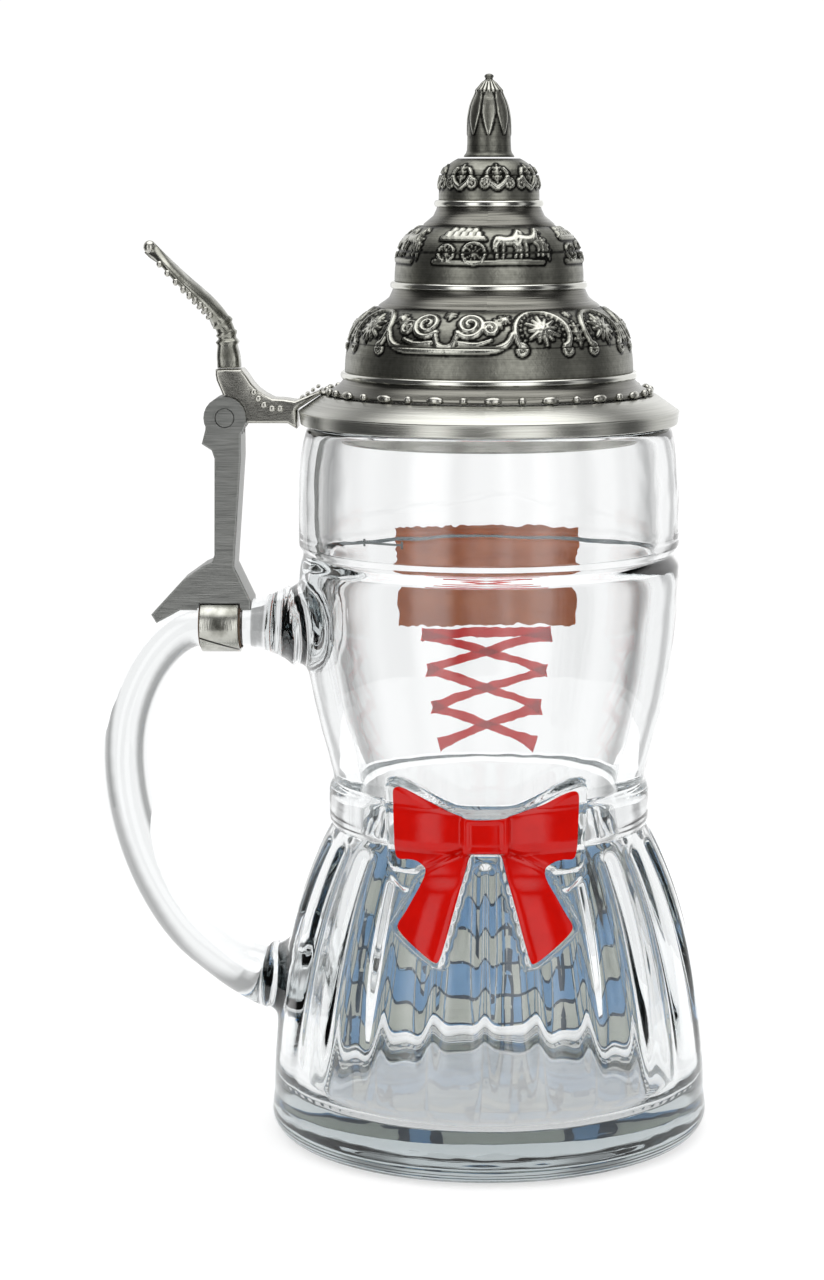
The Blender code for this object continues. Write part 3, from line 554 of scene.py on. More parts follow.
ink = fired_ink("grey_ceramic_ink", "#8E9494")
for name, middle, half, line in (("fill_line", FILL_MIDDLE, FILL_HALF, FILL_LINE),
                                 ("fill_tick_left", FILL_MIDDLE - FILL_HALF, radians(0.35), 0.0016),
                                 ("fill_tick_right", FILL_MIDDLE + FILL_HALF, radians(0.35), 0.0016)):
    mark = printed(name, 12, 2, ink, lambda u, v: on_glass(middle + half * u, FILL_LEVEL + line / 2 * v, INK_STAND))
    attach(mark, "mug")

# ---------------------------------------------------------------- red bow
# Glossy red enamel, brushed by hand on the face of the moulded bow and fired. It keeps in
# from the bow's edge, unevenly, and pools thicker in the middle of each loop and tail.
ENAMEL_HALF = [(0.0000, 0.0032), (0.0030, 0.0033), (0.0058, 0.0038), (0.0088, 0.0049), (0.0124, 0.0066),
               (0.0157, 0.0082), (0.0180, 0.0091), (0.0193, 0.0093), (0.0200, 0.0088), (0.0202, 0.0076),
               (0.0200, 0.0000), (0.0198, -0.0052), (0.0190, -0.0066), (0.0166, -0.0062), (0.0144, -0.0066),
               (0.0128, -0.0078), (0.0131, -0.0098), (0.0152, -0.0134), (0.0174, -0.0172), (0.0190, -0.0197),
               (0.0187, -0.0209), (0.0146, -0.0240), (0.0106, -0.0270), (0.0098, -0.0266), (0.0086, -0.0228),
               (0.0064, -0.0150), (0.0044, -0.0082), (0.0034, -0.0046), (0.0000, -0.0042)]
ENAMEL_EDGE = 0.0009
ENAMEL_THIN = 0.00006
ENAMEL_THICK = 0.00030
ENAMEL_GRID = 0.00036
enamel_outline = []
for n, (x, up) in enumerate(ENAMEL_HALF + [(-x, z) for x, z in ENAMEL_HALF[-2:0:-1]]):
    shake = noise.noise_vector(Vector((x * 400, up * 400, 3.7)))
    low_corner = -0.0008 if x > 0.010 and up > 0.002 else 0.0
    enamel_outline.append((x + 0.00022 * shake.x, up + 0.00022 * shake.y + low_corner))


def enamel_face(x, up, out):
    """A point of the bow's face, or this far out from it."""
    z = belt_middle + up
    angle = asin(x / wall_radius(z))
    return on_glass(angle, z, out)


def enamel_coat(x, up):
    """Thickness of the enamel: thin at its edge, thick in the middle."""
    inside = depth_inside(x, up, enamel_outline)
    return ENAMEL_THIN + (ENAMEL_THICK - ENAMEL_THIN) * smooth_step(0.0, ENAMEL_EDGE, inside) ** 0.6


enamel, tree, shader = new_material("bow_red_enamel", "#B80C04", 0.10)
bm = bmesh.new()
bmesh.ops.create_grid(bm, x_segments=round(0.0450 / ENAMEL_GRID), y_segments=round(0.0420 / ENAMEL_GRID), size=1)
grown = bmesh.ops.extrude_face_region(bm, geom=bm.faces[:])
face_side = {v for v in grown["geom"] if isinstance(v, bmesh.types.BMVert)}
for v in bm.verts:
    x, up = v.co.x * 0.0225, v.co.y * 0.0210 - 0.0090
    v.co = enamel_face(x, up, enamel_coat(x, up) if v in face_side else -0.0001)
bow_coat = new_piece(bm, "bow_coat", enamel)

curve = bpy.data.curves.new("bow_cutter", "CURVE")
curve.dimensions = "2D"
curve.fill_mode = "BOTH"
curve.extrude = BASE_RADIUS / 2
spline = curve.splines.new("NURBS")
spline.points.add(len(enamel_outline) - 1)
for point, (x, up) in zip(spline.points, enamel_outline):
    point.co = (x, belt_middle + up, 0, 1)
spline.use_cyclic_u = True
spline.order_u = 3
curve.resolution_u = 5
cutter = bpy.data.objects.new("bow_cutter", curve)
scene.collection.objects.link(cutter)
bm = bmesh.new()
cutter_mesh = bpy.data.meshes.new_from_object(cutter.evaluated_get(bpy.context.evaluated_depsgraph_get()))
bm.from_mesh(cutter_mesh)
bpy.data.objects.remove(cutter)
bmesh.ops.transform(bm, matrix=Matrix.Translation((0, -BASE_RADIUS / 2, 0)) @ Matrix.Rotation(pi / 2, 4, "X"),
                    verts=bm.verts)
bm = combined(bow_coat, new_piece(bm, "bow_cutter", enamel), "INTERSECT")
bmesh.ops.remove_doubles(bm, verts=bm.verts, dist=0.00003)
bm.to_mesh(bow_coat.data)
bm.free()
bow_coat.data.shade_smooth()
bow_coat.data.set_sharp_from_angle(angle=radians(50))

# Fired glass enamel: a deep red under a clear gloss, with brush marks a couple of mm wide
tree = enamel.node_tree
shader = tree.nodes["Principled BSDF"]
shader.inputs["Coat Weight"].default_value = 0.08
shader.inputs["Coat Roughness"].default_value = 0.04
shader.inputs["Specular IOR Level"].default_value = 0.22
place = add_node(tree, "TexCoord").outputs["Object"]
brush = add_node(tree, "TexNoise", {"Vector": place, "Scale": 1 / 0.004, "Detail": 3.0})
red = add_node(tree, "Mix", {"Factor": brush.outputs["Fac"], "A": linear("#A80602"), "B": linear("#C40C03")},
               data_type="RGBA")
tree.links.new(red.outputs["Result"], shader.inputs["Base Color"])
sag = add_node(tree, "TexNoise", {"Vector": place, "Scale": 1 / 0.0024, "Detail": 2.0})
tree.links.new(add_node(tree, "Bump", {"Height": sag.outputs["Fac"], "Strength": 0.35,
                                       "Distance": 0.00012}).outputs["Normal"], shader.inputs["Normal"])
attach(bow_coat, "mug")
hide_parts("bow_enamel")

# ---------------------------------------------------------------- neckline print
# A fired transfer of plain skin colour in the neckline of the dress, on the back of the mug.
# Its edges are worn, and it is streaky where the ink lies thin.
neck_low, neck_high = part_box("neckline_print")
NECK_HALF = asin(neck_high.x / BUST_RADIUS)
PRINT_TURN = radians(2.2)  # all the prints are set this far round towards the handle
neck_top = neck_high.z + 0.0042  # it runs on over the groove, onto the collar
WEAR = 0.00045  # how far a print's edge wanders


def worn_edge(u, v, seed, half_width, half_height):
    """Where a print's grid point lies after its edge has worn: (u, v) with the edges shaken."""
    shake = noise.noise_vector(Vector((u * half_width * 500, v * half_height * 500, seed)))
    near_u, near_v = smooth_step(0.90, 1.0, abs(u)), smooth_step(0.90, 1.0, abs(v))
    return u - near_u * WEAR / half_width * abs(shake.x) * 2 * (1 if u > 0 else -1), \
        v - near_v * WEAR / half_height * abs(shake.y) * 2 * (1 if v > 0 else -1)


def neckline_at(u, v):
    """The neckline's patch: its corners are rounded and its foot dips in the middle."""
    u, v = worn_edge(u, v, 1.0, 0.021, 0.0095)
    z = (neck_low.z + neck_top) / 2 + (neck_top - neck_low.z) / 2 * v
    z -= 0.0008 * (1 - u * u) * smooth_step(0.2, -1.0, v)
    return on_glass(pi + PRINT_TURN + NECK_HALF * u, z, INK_STAND)


skin = fired_ink("skin_transfer_print", "#C47C5C")
neckline = printed("neckline", 84, 44, skin, neckline_at)
tree = skin.node_tree
shader = tree.nodes["Principled BSDF"]
place = add_node(tree, "TexCoord").outputs["Object"]
cloud = add_node(tree, "TexNoise", {"Vector": place, "Scale": 1 / 0.006, "Detail": 4.0})
tone = add_node(tree, "ValToRGB", {"Fac": cloud.outputs["Fac"]})
tone.color_ramp.elements[0].color = linear("#C06A34")
tone.color_ramp.elements[0].position = 0.3
tone.color_ramp.elements[1].color = linear("#D8864C")
tone.color_ramp.elements[1].position = 0.7
tree.links.new(tone.outputs["Color"], shader.inputs["Base Color"])
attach(neckline, "mug")
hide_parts("neckline_print")

# ---------------------------------------------------------------- lacing print
# The bodice's lacing in thin red ink: a bar and three crosses under it, each lace flaring at its ends.
# Like the other prints it is a fired transfer on the back of the glass.
lace_low, lace_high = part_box("lacing_print")
LACE = 0.00190
LACE_CROSSES = 3
LACE_TOP_HALF = 0.0172
LACE_FOOT_HALF = 0.0128
lace_ink = fired_ink("lacing_red_ink", "#EE1A12")


def lace(name, start, end, half_width, flare=0.0):
    """One lace of the print, from (x, z) to (x, z) as seen from the back. Its ends flare."""
    start, end = Vector(start), Vector(end)
    along = end - start
    across = along.orthogonal().normalized()

    def at(u, v):
        wide = half_width * (1 + flare * abs(u) ** 6) \
            * (1 + 0.22 * noise.noise(Vector((u * along.length * 300, v * 3, start.x * 999))))
        x, z = start + along * (u + 1) / 2 + across * wide * v
        return on_glass(pi + PRINT_TURN - asin(x / wall_radius(z)), z, INK_STAND)
    strip = printed(name, max(6, round(along.length / 0.0007)), 4, lace_ink, at)
    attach(strip, "mug")
    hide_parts("lacing_print")


lace_top = lace_high.z - LACE / 2
lace_foot = lace_low.z + LACE / 2
lace("lace_top_bar", (-LACE_TOP_HALF, lace_top), (LACE_TOP_HALF, lace_top), LACE * 0.62, 0.5)
for n in range(LACE_CROSSES):
    wide = LACE_TOP_HALF + (LACE_FOOT_HALF - LACE_TOP_HALF) * n / LACE_CROSSES
    narrow = LACE_TOP_HALF + (LACE_FOOT_HALF - LACE_TOP_HALF) * (n + 1) / LACE_CROSSES
    upper = lace_top + (lace_foot - lace_top) * n / LACE_CROSSES
    lower = lace_top + (lace_foot - lace_top) * (n + 1) / LACE_CROSSES
    for side, name in ((-1, "left"), (1, "right")):
        lace(f"lace_{n + 1}_{name}", (side * wide, upper), (-side * narrow, lower), LACE / 2, 0.7)

# ---------------------------------------------------------------- checked skirt print
# The skirt's checks, a fired transfer over the pleats at the back: blue and pale squares, one
# wide and one narrow to a pleat, each row's colours swapped, with fine dark outlines.
skirt_low, skirt_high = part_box("skirt_print")
SKIRT_HALF = radians(66)
SKIRT_FOOT = 0.0072
CHECK_ROW = 0.0085
CHECK_STEP = radians(15)

# it lies on the glass's own pleats, so it starts as a copy of them
checks = fired_ink("blue_check_transfer_print", "#BCC0BA")
bm = bmesh.new()
bm.from_mesh(mug.data)
away = []
for face in bm.faces:
    co = face.calc_center_median()
    radius = co.xy.length
    on_skirt = SKIRT_FOOT < co.z < skirt_high.z - 0.0004 and abs(radius - wall_radius(co.z)) < 0.0025
    if not on_skirt or abs(atan2(co.x, co.y)) > SKIRT_HALF:
        away.append(face)
bmesh.ops.delete(bm, geom=away, context="FACES")
bm.normal_update()
for v in bm.verts:
    v.co += v.normal * INK_GAP
skirt_mesh = bpy.data.meshes.new("checked_skirt")
bm.to_mesh(skirt_mesh)
bm.free()
skirt_mesh.materials.clear()
skirt_mesh.materials.append(checks)
checked_skirt = bpy.data.objects.new("checked_skirt", skirt_mesh)
scene.collection.objects.link(checked_skirt)
ink_layer = checked_skirt.modifiers.new("ink", "SOLIDIFY")
ink_layer.thickness = INK
ink_layer.offset = 1
tree = checks.node_tree
shader = tree.nodes["Principled BSDF"]
place = add_node(tree, "TexCoord").outputs["Object"]
wobble = add_node(tree, "TexNoise", {"Vector": place, "Scale": 1 / 0.004, "Detail": 2.0})
shift = add_node(tree, "MapRange", {"Value": wobble.outputs["Fac"], "To Min": -0.0005, "To Max": 0.0005})
parts = add_node(tree, "SeparateXYZ", {0: place})
turn = add_node(tree, "Math", {0: parts.outputs["X"], 1: parts.outputs["Y"]}, operation="ARCTAN2")
step = add_node(tree, "Math", {0: turn.outputs[0], 1: 1 / CHECK_STEP}, operation="MULTIPLY")
step = add_node(tree, "Math", {0: step.outputs[0], 1: 0.5}, operation="PINGPONG")  # 0 on a wide square's middle
row = add_node(tree, "Math", {0: parts.outputs["Z"], 1: shift.outputs["Result"]}, operation="ADD")
row = add_node(tree, "Math", {0: row.outputs[0], 1: 1 / CHECK_ROW}, operation="MULTIPLY")
odd = add_node(tree, "Math", {0: row.outputs[0], 1: 2.0}, operation="FLOORED_MODULO")
odd = add_node(tree, "Math", {0: odd.outputs[0], 1: 1.0}, operation="GREATER_THAN")
WIDE_SHARE = 0.40  # half of a wide square's share of the step
narrow = add_node(tree, "Math", {0: step.outputs[0], 1: WIDE_SHARE}, operation="GREATER_THAN")
blue_here = add_node(tree, "Math", {0: odd.outputs[0], 1: narrow.outputs[0]}, operation="COMPARE")
blue_here.inputs[2].default_value = 0.1
blue = add_node(tree, "Mix", {"Factor": wobble.outputs["Fac"], "A": linear("#84B8E0"), "B": linear("#A8D0EE")},
                data_type="RGBA")
pale = add_node(tree, "Mix", {"Factor": wobble.outputs["Fac"], "A": linear("#D8DCD4"), "B": linear("#ECEFE8")},
                data_type="RGBA")
square = add_node(tree, "Mix", {"Factor": blue_here.outputs[0], "A": pale.outputs["Result"],
                                "B": blue.outputs["Result"]}, data_type="RGBA")
OUTLINE = 0.00040
edge_across = add_node(tree, "Math", {0: step.outputs[0], 1: WIDE_SHARE}, operation="SUBTRACT")
edge_across = add_node(tree, "Math", {0: edge_across.outputs[0]}, operation="ABSOLUTE")
edge_across = add_node(tree, "Math", {0: edge_across.outputs[0], 1: OUTLINE / (CHECK_STEP * 0.046)},
                       operation="LESS_THAN")
edge_up = add_node(tree, "Math", {0: row.outputs[0], 1: 0.5}, operation="PINGPONG")
edge_up = add_node(tree, "Math", {0: edge_up.outputs[0], 1: OUTLINE / CHECK_ROW}, operation="LESS_THAN")
lines = add_node(tree, "Math", {0: edge_across.outputs[0], 1: edge_up.outputs[0]}, operation="MAXIMUM")
broken = add_node(tree, "Math", {0: wobble.outputs["Fac"], 1: 0.40}, operation="GREATER_THAN")
lines = add_node(tree, "Math", {0: lines.outputs[0], 1: broken.outputs[0]}, operation="MULTIPLY")
inked = add_node(tree, "Mix", {"Factor": lines.outputs[0], "A": square.outputs["Result"], "B": linear("#46586C")},
                 data_type="RGBA")
tree.links.new(inked.outputs["Result"], shader.inputs["Base Color"])
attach(checked_skirt, "mug")
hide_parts("skirt_print")

# ---------------------------------------------------------------- strap and lining
# A strip of pewter bent round the handle over a thin dark lining, its ends meeting in a
# slanting seam under the handle. It carries the hinge post.
liner_low, liner_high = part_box("handle_liner")
STRAP_EDGE = 0.00018


def band(name, low, high, wall, edge, material):
    """An oval band round the handle that fills this box, with rounded edges."""
    bm = bmesh.new()
    bmesh.ops.create_circle(bm, segments=96, radius=1)
    bmesh.ops.scale(bm, vec=((high.z - low.z) / 2, (high.y - low.y) / 2, 1), verts=bm.verts)
    stand = Matrix.Translation((low.x, 0, (high.z + low.z) / 2)) @ Matrix.Rotation(pi / 2, 4, "Y")
    bmesh.ops.transform(bm, matrix=stand, verts=bm.verts)
    grown = bmesh.ops.extrude_edge_only(bm, edges=bm.edges)
    end = [v for v in grown["geom"] if isinstance(v, bmesh.types.BMVert)]
    bmesh.ops.translate(bm, vec=(high.x - low.x, 0, 0), verts=end)
    piece = new_piece(bm, name, material)
    thick = piece.modifiers.new("thickness", "SOLIDIFY")
    thick.thickness = wall
    thick.offset = -1
    round_off = piece.modifiers.new("edges", "BEVEL")
    round_off.width = edge
    round_off.segments = 2
    round_off.angle_limit = radians(40)
    return piece


def metal_streaks(tree, shader, direction, pitch, strength):
    """Bump from the marks of a brush or file. They run at right angles to the scaled axes."""
    place = add_node(tree, "TexCoord").outputs["Object"]
    squeezed = add_node(tree, "Mapping", {"Vector": place, "Scale": [d / pitch for d in direction]})
    marks = add_node(tree, "TexNoise", {"Vector": squeezed.outputs["Vector"], "Scale": 1.0, "Detail": 3.0})
    raised = add_node(tree, "Bump", {"Height": marks.outputs["Fac"], "Strength": strength, "Distance": 0.0001})
    tree.links.new(raised.outputs["Normal"], shader.inputs["Normal"])
    return marks.outputs["Fac"]


# Polished pewter, hand-worked: soft reflections over fine scratches 0.3 mm apart
polished, tree, shader = new_material("polished_pewter", "#B4B3AC", 0.24, 1.0)
marks = metal_streaks(tree, shader, (0.15, 1.0, 1.0), 0.0003, 0.35)
rough = add_node(tree, "MapRange", {"Value": marks, "To Min": 0.16, "To Max": 0.36})
tree.links.new(rough.outputs["Result"], shader.inputs["Roughness"])

# The strap is the same metal with tarnish in long patches and a dark soldered seam
strap_metal, tree, shader = new_material("strap_pewter", "#A9A9A4", 0.26, 1.0)
metal_streaks(tree, shader, (1.0, 0.12, 0.12), 0.0003, 0.4)
place = add_node(tree, "TexCoord").outputs["Object"]
patch = add_node(tree, "TexNoise", {"Vector": place, "Scale": 1 / 0.005, "Detail": 3.0})
tone = add_node(tree, "ValToRGB", {"Fac": patch.outputs["Fac"]})
tone.color_ramp.elements[0].color = linear("#77776F")
tone.color_ramp.elements[0].position = 0.35
tone.color_ramp.elements[1].color = linear("#B9B9B2")
tone.color_ramp.elements[1].position = 0.6
SEAM_Z = strap_low.z + 0.0026
SEAM_HALF = 0.00022
split = add_node(tree, "SeparateXYZ", {0: place})
slant = add_node(tree, "Math", {0: split.outputs["X"], 1: 0.35, 2: split.outputs["Z"]}, operation="MULTIPLY_ADD")
slant = add_node(tree, "Math", {0: slant.outputs[0], 1: SEAM_Z + 0.35 * strap_x}, operation="SUBTRACT")
slant = add_node(tree, "Math", {0: slant.outputs[0]}, operation="ABSOLUTE")
slant = add_node(tree, "Math", {0: slant.outputs[0], 1: SEAM_HALF}, operation="LESS_THAN")
seamed = add_node(tree, "Mix", {"Factor": slant.outputs[0], "A": tone.outputs["Color"], "B": linear("#2C2B28")},
                  data_type="RGBA")
tree.links.new(seamed.outputs["Result"], shader.inputs["Base Color"])

# Thin cork-and-rubber packing: matt, brownish grey
packing, tree, shader = new_material("packing_cork_rubber", "#5A4A3C", 0.85)
place = add_node(tree, "TexCoord").outputs["Object"]
grain = add_node(tree, "TexNoise", {"Vector": place, "Scale": 1 / 0.0008, "Detail": 3.0})
tone = add_node(tree, "Mix", {"Factor": grain.outputs["Fac"], "A": linear("#3A2F27"), "B": linear("#7A6552")},
                data_type="RGBA")
tree.links.new(tone.outputs["Result"], shader.inputs["Base Color"])

strap = band("strap", strap_low, strap_high, 0.0007, STRAP_EDGE, strap_metal)
lining = band("strap_lining", liner_low, liner_high, 0.0003, 0.00008, packing)
for piece, node, slot in ((strap, "handle_strap", "bright_pewter"), (lining, "handle_liner", "lining")):
    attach(piece, "mug")
    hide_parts(node)

# ---------------------------------------------------------------- hinge post, pin and plugs
# A cast pewter tower, filed flat on its sides, with three rings for the pin and a foot that
# straddles the handle. Its steel pin is shut in by a filed plug at each end.
post_low, post_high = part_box("hinge_post")
pin_low, pin_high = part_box("hinge_pin")
HINGE = Vector(((pin_low.x + pin_high.x) / 2, 0, (pin_low.z + pin_high.z) / 2))

# Pewter off the file: grey, with level scratches about 0.25 mm apart
filed, tree, shader = new_material("filed_pewter", "#8A8D8C", 0.36, 1.0)
marks = metal_streaks(tree, shader, (0.04, 0.3, 1.0), 0.00025, 0.9)
rough = add_node(tree, "MapRange", {"Value": marks, "To Min": 0.26, "To Max": 0.52})
tree.links.new(rough.outputs["Result"], shader.inputs["Roughness"])
tone = add_node(tree, "Mix", {"Factor": marks, "A": linear("#666866"), "B": linear("#A2A3A0")}, data_type="RGBA")
tree.links.new(tone.outputs["Result"], shader.inputs["Base Color"])

# Bright steel rod: turned, hardly marked
steel, tree, shader = new_material("pin_steel_rod", "#B8BABC", 0.22, 1.0)
metal_streaks(tree, shader, (1.0, 0.1, 1.0), 0.0004, 0.3)

for node, metal, slot in (("hinge_post", filed, "filed_pewter"), ("hinge_plug_front", filed, "filed_pewter"),
                          ("hinge_plug_rear", filed, "filed_pewter"), ("hinge_pin", steel, "pin_steel")):
    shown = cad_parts[node]
    shown.data.materials.clear()
    shown.data.materials.append(metal)

# ---------------------------------------------------------------- lid flange
# The pewter rim of the lid, spun and brushed on the lathe: a sloping bevel over an upright
# band with a crisp edge between them, and a lip that centres it in the glass.
flange_low, flange_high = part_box("lid_flange")
FLANGE_RADIUS = flange_high.x
FLANGE_TOP = flange_high.z
FLANGE_BOTTOM = GLASS_TOP + 0.0003
FLANGE_BAND = 0.0029
FLANGE_BEVEL = 0.0036
LIP_RADIUS = RIM_RADIUS - RIM_WALL - 0.0010
LIP_WALL = 0.0012
DOME_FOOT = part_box("lid_dome")[1].x
SPUN_STEPS = 256


def lathe_metal(name, dark, light, roughness, pitch, strength):
    """Metal brushed round the mug's axis: streaks that follow the turning, a spread highlight."""
    made, tree, shader = new_material(name, light, roughness, 1.0)
    place = add_node(tree, "TexCoord").outputs["Object"]
    parts = add_node(tree, "SeparateXYZ", {0: place})
    flat = add_node(tree, "CombineXYZ", {"X": parts.outputs["X"], "Y": parts.outputs["Y"]})
    out = add_node(tree, "VectorMath", {0: flat.outputs["Vector"]}, operation="LENGTH")
    turn = add_node(tree, "Math", {0: parts.outputs["X"], 1: parts.outputs["Y"]}, operation="ARCTAN2")
    slow = add_node(tree, "Math", {0: turn.outputs[0], 1: pitch * 1.2}, operation="MULTIPLY")
    rings = add_node(tree, "CombineXYZ", {"X": out.outputs["Value"], "Y": slow.outputs[0],
                                          "Z": parts.outputs["Z"]})
    streaks = add_node(tree, "TexNoise", {"Vector": rings.outputs["Vector"], "Scale": 1 / pitch, "Detail": 3.0})
    tone = add_node(tree, "Mix", {"Factor": streaks.outputs["Fac"], "A": linear(dark), "B": linear(light)},
                    data_type="RGBA")
    tree.links.new(tone.outputs["Result"], shader.inputs["Base Color"])
    raised = add_node(tree, "Bump", {"Height": streaks.outputs["Fac"], "Strength": strength, "Distance": 0.0001})
    tree.links.new(raised.outputs["Normal"], shader.inputs["Normal"])
    shader.inputs["Anisotropic"].default_value = 0.3
    tree.links.new(add_node(tree, "Tangent", direction_type="RADIAL", axis="Z").outputs["Tangent"],
                   shader.inputs["Tangent"])
    return made


def lid_piece(piece, node):
    """Hang a piece on the lid in a node's place."""
    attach(piece, "lid")
    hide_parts(node)


brushed = lathe_metal("brushed_pewter", "#94948E", "#C8C8C1", 0.25, 0.0003, 0.25)
shelf = FLANGE_RADIUS - 1.5 * FLANGE_BEVEL
band_top = FLANGE_BOTTOM + FLANGE_BAND
inner_rim = DOME_FOOT - 0.0048
flange_profile = [(shelf - 0.0004, FLANGE_TOP), (shelf, FLANGE_TOP), (shelf + 0.0004, FLANGE_TOP - 0.0001),
                  (FLANGE_RADIUS - 0.0006, band_top + 0.00045), (FLANGE_RADIUS - 0.0001, band_top + 0.0001),
                  (FLANGE_RADIUS, band_top - 0.0001), (FLANGE_RADIUS - 0.0001, band_top - 0.0004),
                  (FLANGE_RADIUS - 0.0003, FLANGE_BOTTOM + 0.0006), (FLANGE_RADIUS - 0.0004, FLANGE_BOTTOM + 0.0002),
                  (FLANGE_RADIUS - 0.0007, FLANGE_BOTTOM), (LIP_RADIUS, FLANGE_BOTTOM),
                  (LIP_RADIUS - 0.0002, flange_low.z + 0.0004), (LIP_RADIUS - 0.0005, flange_low.z),
                  (LIP_RADIUS - LIP_WALL, flange_low.z), (LIP_RADIUS - LIP_WALL, FLANGE_BOTTOM + 0.0008),
                  (inner_rim, band_top), (inner_rim, FLANGE_TOP)]
flange = new_piece(spun(flange_profile, SPUN_STEPS, closed=True), "flange", brushed)
flange.data.set_sharp_from_angle(angle=radians(28))
lid_piece(flange, "lid_flange")

# ---------------------------------------------------------------- coves and bright rings
# Between the flange and each dome the lid steps in through a hollow cove, brushed, its colour darkened with painted
# shade, up to a narrow ring that is left bright. They are cast with the domes and turned afterwards.
dome_low, dome_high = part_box("lid_dome")
# each tier: height of its step, height of its dome, foot as a share of the radius below,
# top as a share of the foot
TIERS = [(0.0049, 0.0142, 0.894, 0.766), (0.0056, 0.0122, 0.853, 0.694), (0.0056, 0.0090, 0.766, 0.613)]
LID_WALL = 0.0016
# painted shade: the cove's metal is given a dark colour for the shade in its hollow, over real brushing streaks
cove_metal_painted_shade = lathe_metal("brushed_pewter_painted_shade", "#403F3B", "#84837C", 0.25, 0.00035, 0.5)
ring_metal = lathe_metal("burnished_pewter", "#B5B5AE", "#D6D6D0", 0.16, 0.0003, 0.12)

tiers = []  # each dome: foot radius, top radius, foot height, top height
level, below = dome_low.z, DOME_FOOT
for n, (step_height, dome_height, foot_share, top_share) in enumerate(TIERS, 1):
    foot = below * foot_share
    ring_z = level + step_height - 0.0010
    inside = foot - LID_WALL
    steps = SPUN_STEPS - 48 * n
    cove = [(inside, level), (below, level), (below - 0.0001, level + 0.0004), (below - 0.0006, level + 0.0008),
            (foot + 0.0022, level + 0.0013), (foot + 0.0012, level + 0.0021), (foot + 0.0005, ring_z - 0.0010),
            (foot + 0.0004, ring_z - 0.0006), (inside, ring_z - 0.0006)]
    piece = new_piece(spun(cove, steps, closed=True), f"cove_{n}", cove_metal_painted_shade)
    piece.data.set_sharp_from_angle(angle=radians(40))
    lid_piece(piece, "lid_dome")
    ring = [(inside, ring_z - 0.0006)]
    ring += [(foot + 0.0002 + 0.0008 * cos(a) ** 0.7, ring_z + 0.0002 + 0.0008 * sin(a))
             for a in [-pi / 2 + pi * k / 10 for k in range(1, 10)]]
    ring += [(foot - 0.0001, ring_z + 0.0010), (inside, ring_z + 0.0010)]
    lid_piece(new_piece(spun(ring, steps, closed=True), f"bright_ring_{n}", ring_metal), "lid_dome")
    tiers.append((foot, foot * top_share, level + step_height, level + step_height + dome_height))
    level, below = tiers[-1][3], tiers[-1][1]

# ---------------------------------------------------------------- relief domes
# Three hollow pewter domes, cast with their ornament and antiqued: the relief is rubbed
# bright on its high places and left nearly black between them. The lowest has scrolls and
# star flowers, the middle one carts and horses, and the highest leaves.
GRID = 0.00029  # rows of the mesh along a dome
RELIEF = 0.00055
FIELD = 0.40  # how bright the plain metal is between black, 0, and rubbed, 1


def emboss(marks, rows, columns):
    """Heights of round-topped marks (angle, along, radius, height) on a grid round a dome."""
    heights = [[0.0] * columns for _ in rows]
    pitch = rows[1][1] - rows[0][1]
    turn = 2 * pi / columns
    for angle, along, size, height in marks:
        first = max(0, int((along - size - rows[0][1]) / pitch))
        for j in range(first, min(len(rows), first + int(2 * size / pitch) + 3)):
            r, t = rows[j]
            left = size * size - (t - along) ** 2
            if left <= 0:
                continue
            half = sqrt(left) / r
            for i in range(int((angle - half) / turn), int((angle + half) / turn) + 1):
                gap = ((i * turn - angle) * r) ** 2
                if gap < left:
                    rise = height * sqrt((left - gap)) / size
                    if rise > heights[j][i % columns]:
                        heights[j][i % columns] = rise
    return heights


HALO = 0.00065  # how far the black patina spreads from a mark's edge


def stroke(points, thick, thin, height=1.0):
    """Marks (s, t, radius, height) along a smooth line through these points, tapering."""
    marks = []
    for n in range(len(points) - 1):
        a = Vector(points[max(0, n - 1)])
        b, c = Vector(points[n]), Vector(points[n + 1])
        d = Vector(points[min(len(points) - 1, n + 2)])
        count = max(2, round((c - b).length / 0.00028))
        for k in range(count):
            u = k / count
            at = 0.5 * ((2 * b) + (c - a) * u + (2 * a - 5 * b + 4 * c - d) * u * u
                        + (3 * b - a - 3 * c + d) * u ** 3)
            share = (n + u) / (len(points) - 1)
            marks.append((at.x, at.y, thick + (thin - thick) * share, height))
    return marks


def spiral(s, t, radius, turns, start, hand, thick, thin):
    """Marks along a spiral that winds in from its outside."""
    points = []
    steps = round(turns * 10)
    for n in range(steps + 1):
        out = radius * (1 - 0.86 * n / steps)
        a = start + hand * 2 * pi * turns * n / steps
        points.append((s + out * cos(a), t + out * sin(a)))
    return stroke(points, thick, thin)


def star_flower(s, t, radius, petals, turn=0.0):
    """Marks of a flower: two rings of pointed petals round a button."""
    marks = [(s, t, 0.24 * radius, 1.35)]
    for k in range(6):
        a = 2 * pi * k / 6
        marks.append((s + 0.20 * radius * cos(a), t + 0.20 * radius * sin(a), 0.10 * radius, 1.45))
    for k in range(petals):
        a = turn + 2 * pi * k / petals
        reach = radius * (1.0 if k % 2 else 0.80)
        for q in (0.38, 0.5, 0.62, 0.74, 0.86, 1.0):
            marks.append((s + reach * q * cos(a), t + reach * q * sin(a),
                          radius * (0.17 - 0.11 * (q - 0.38)), 1.15 - 0.35 * q))
    return marks


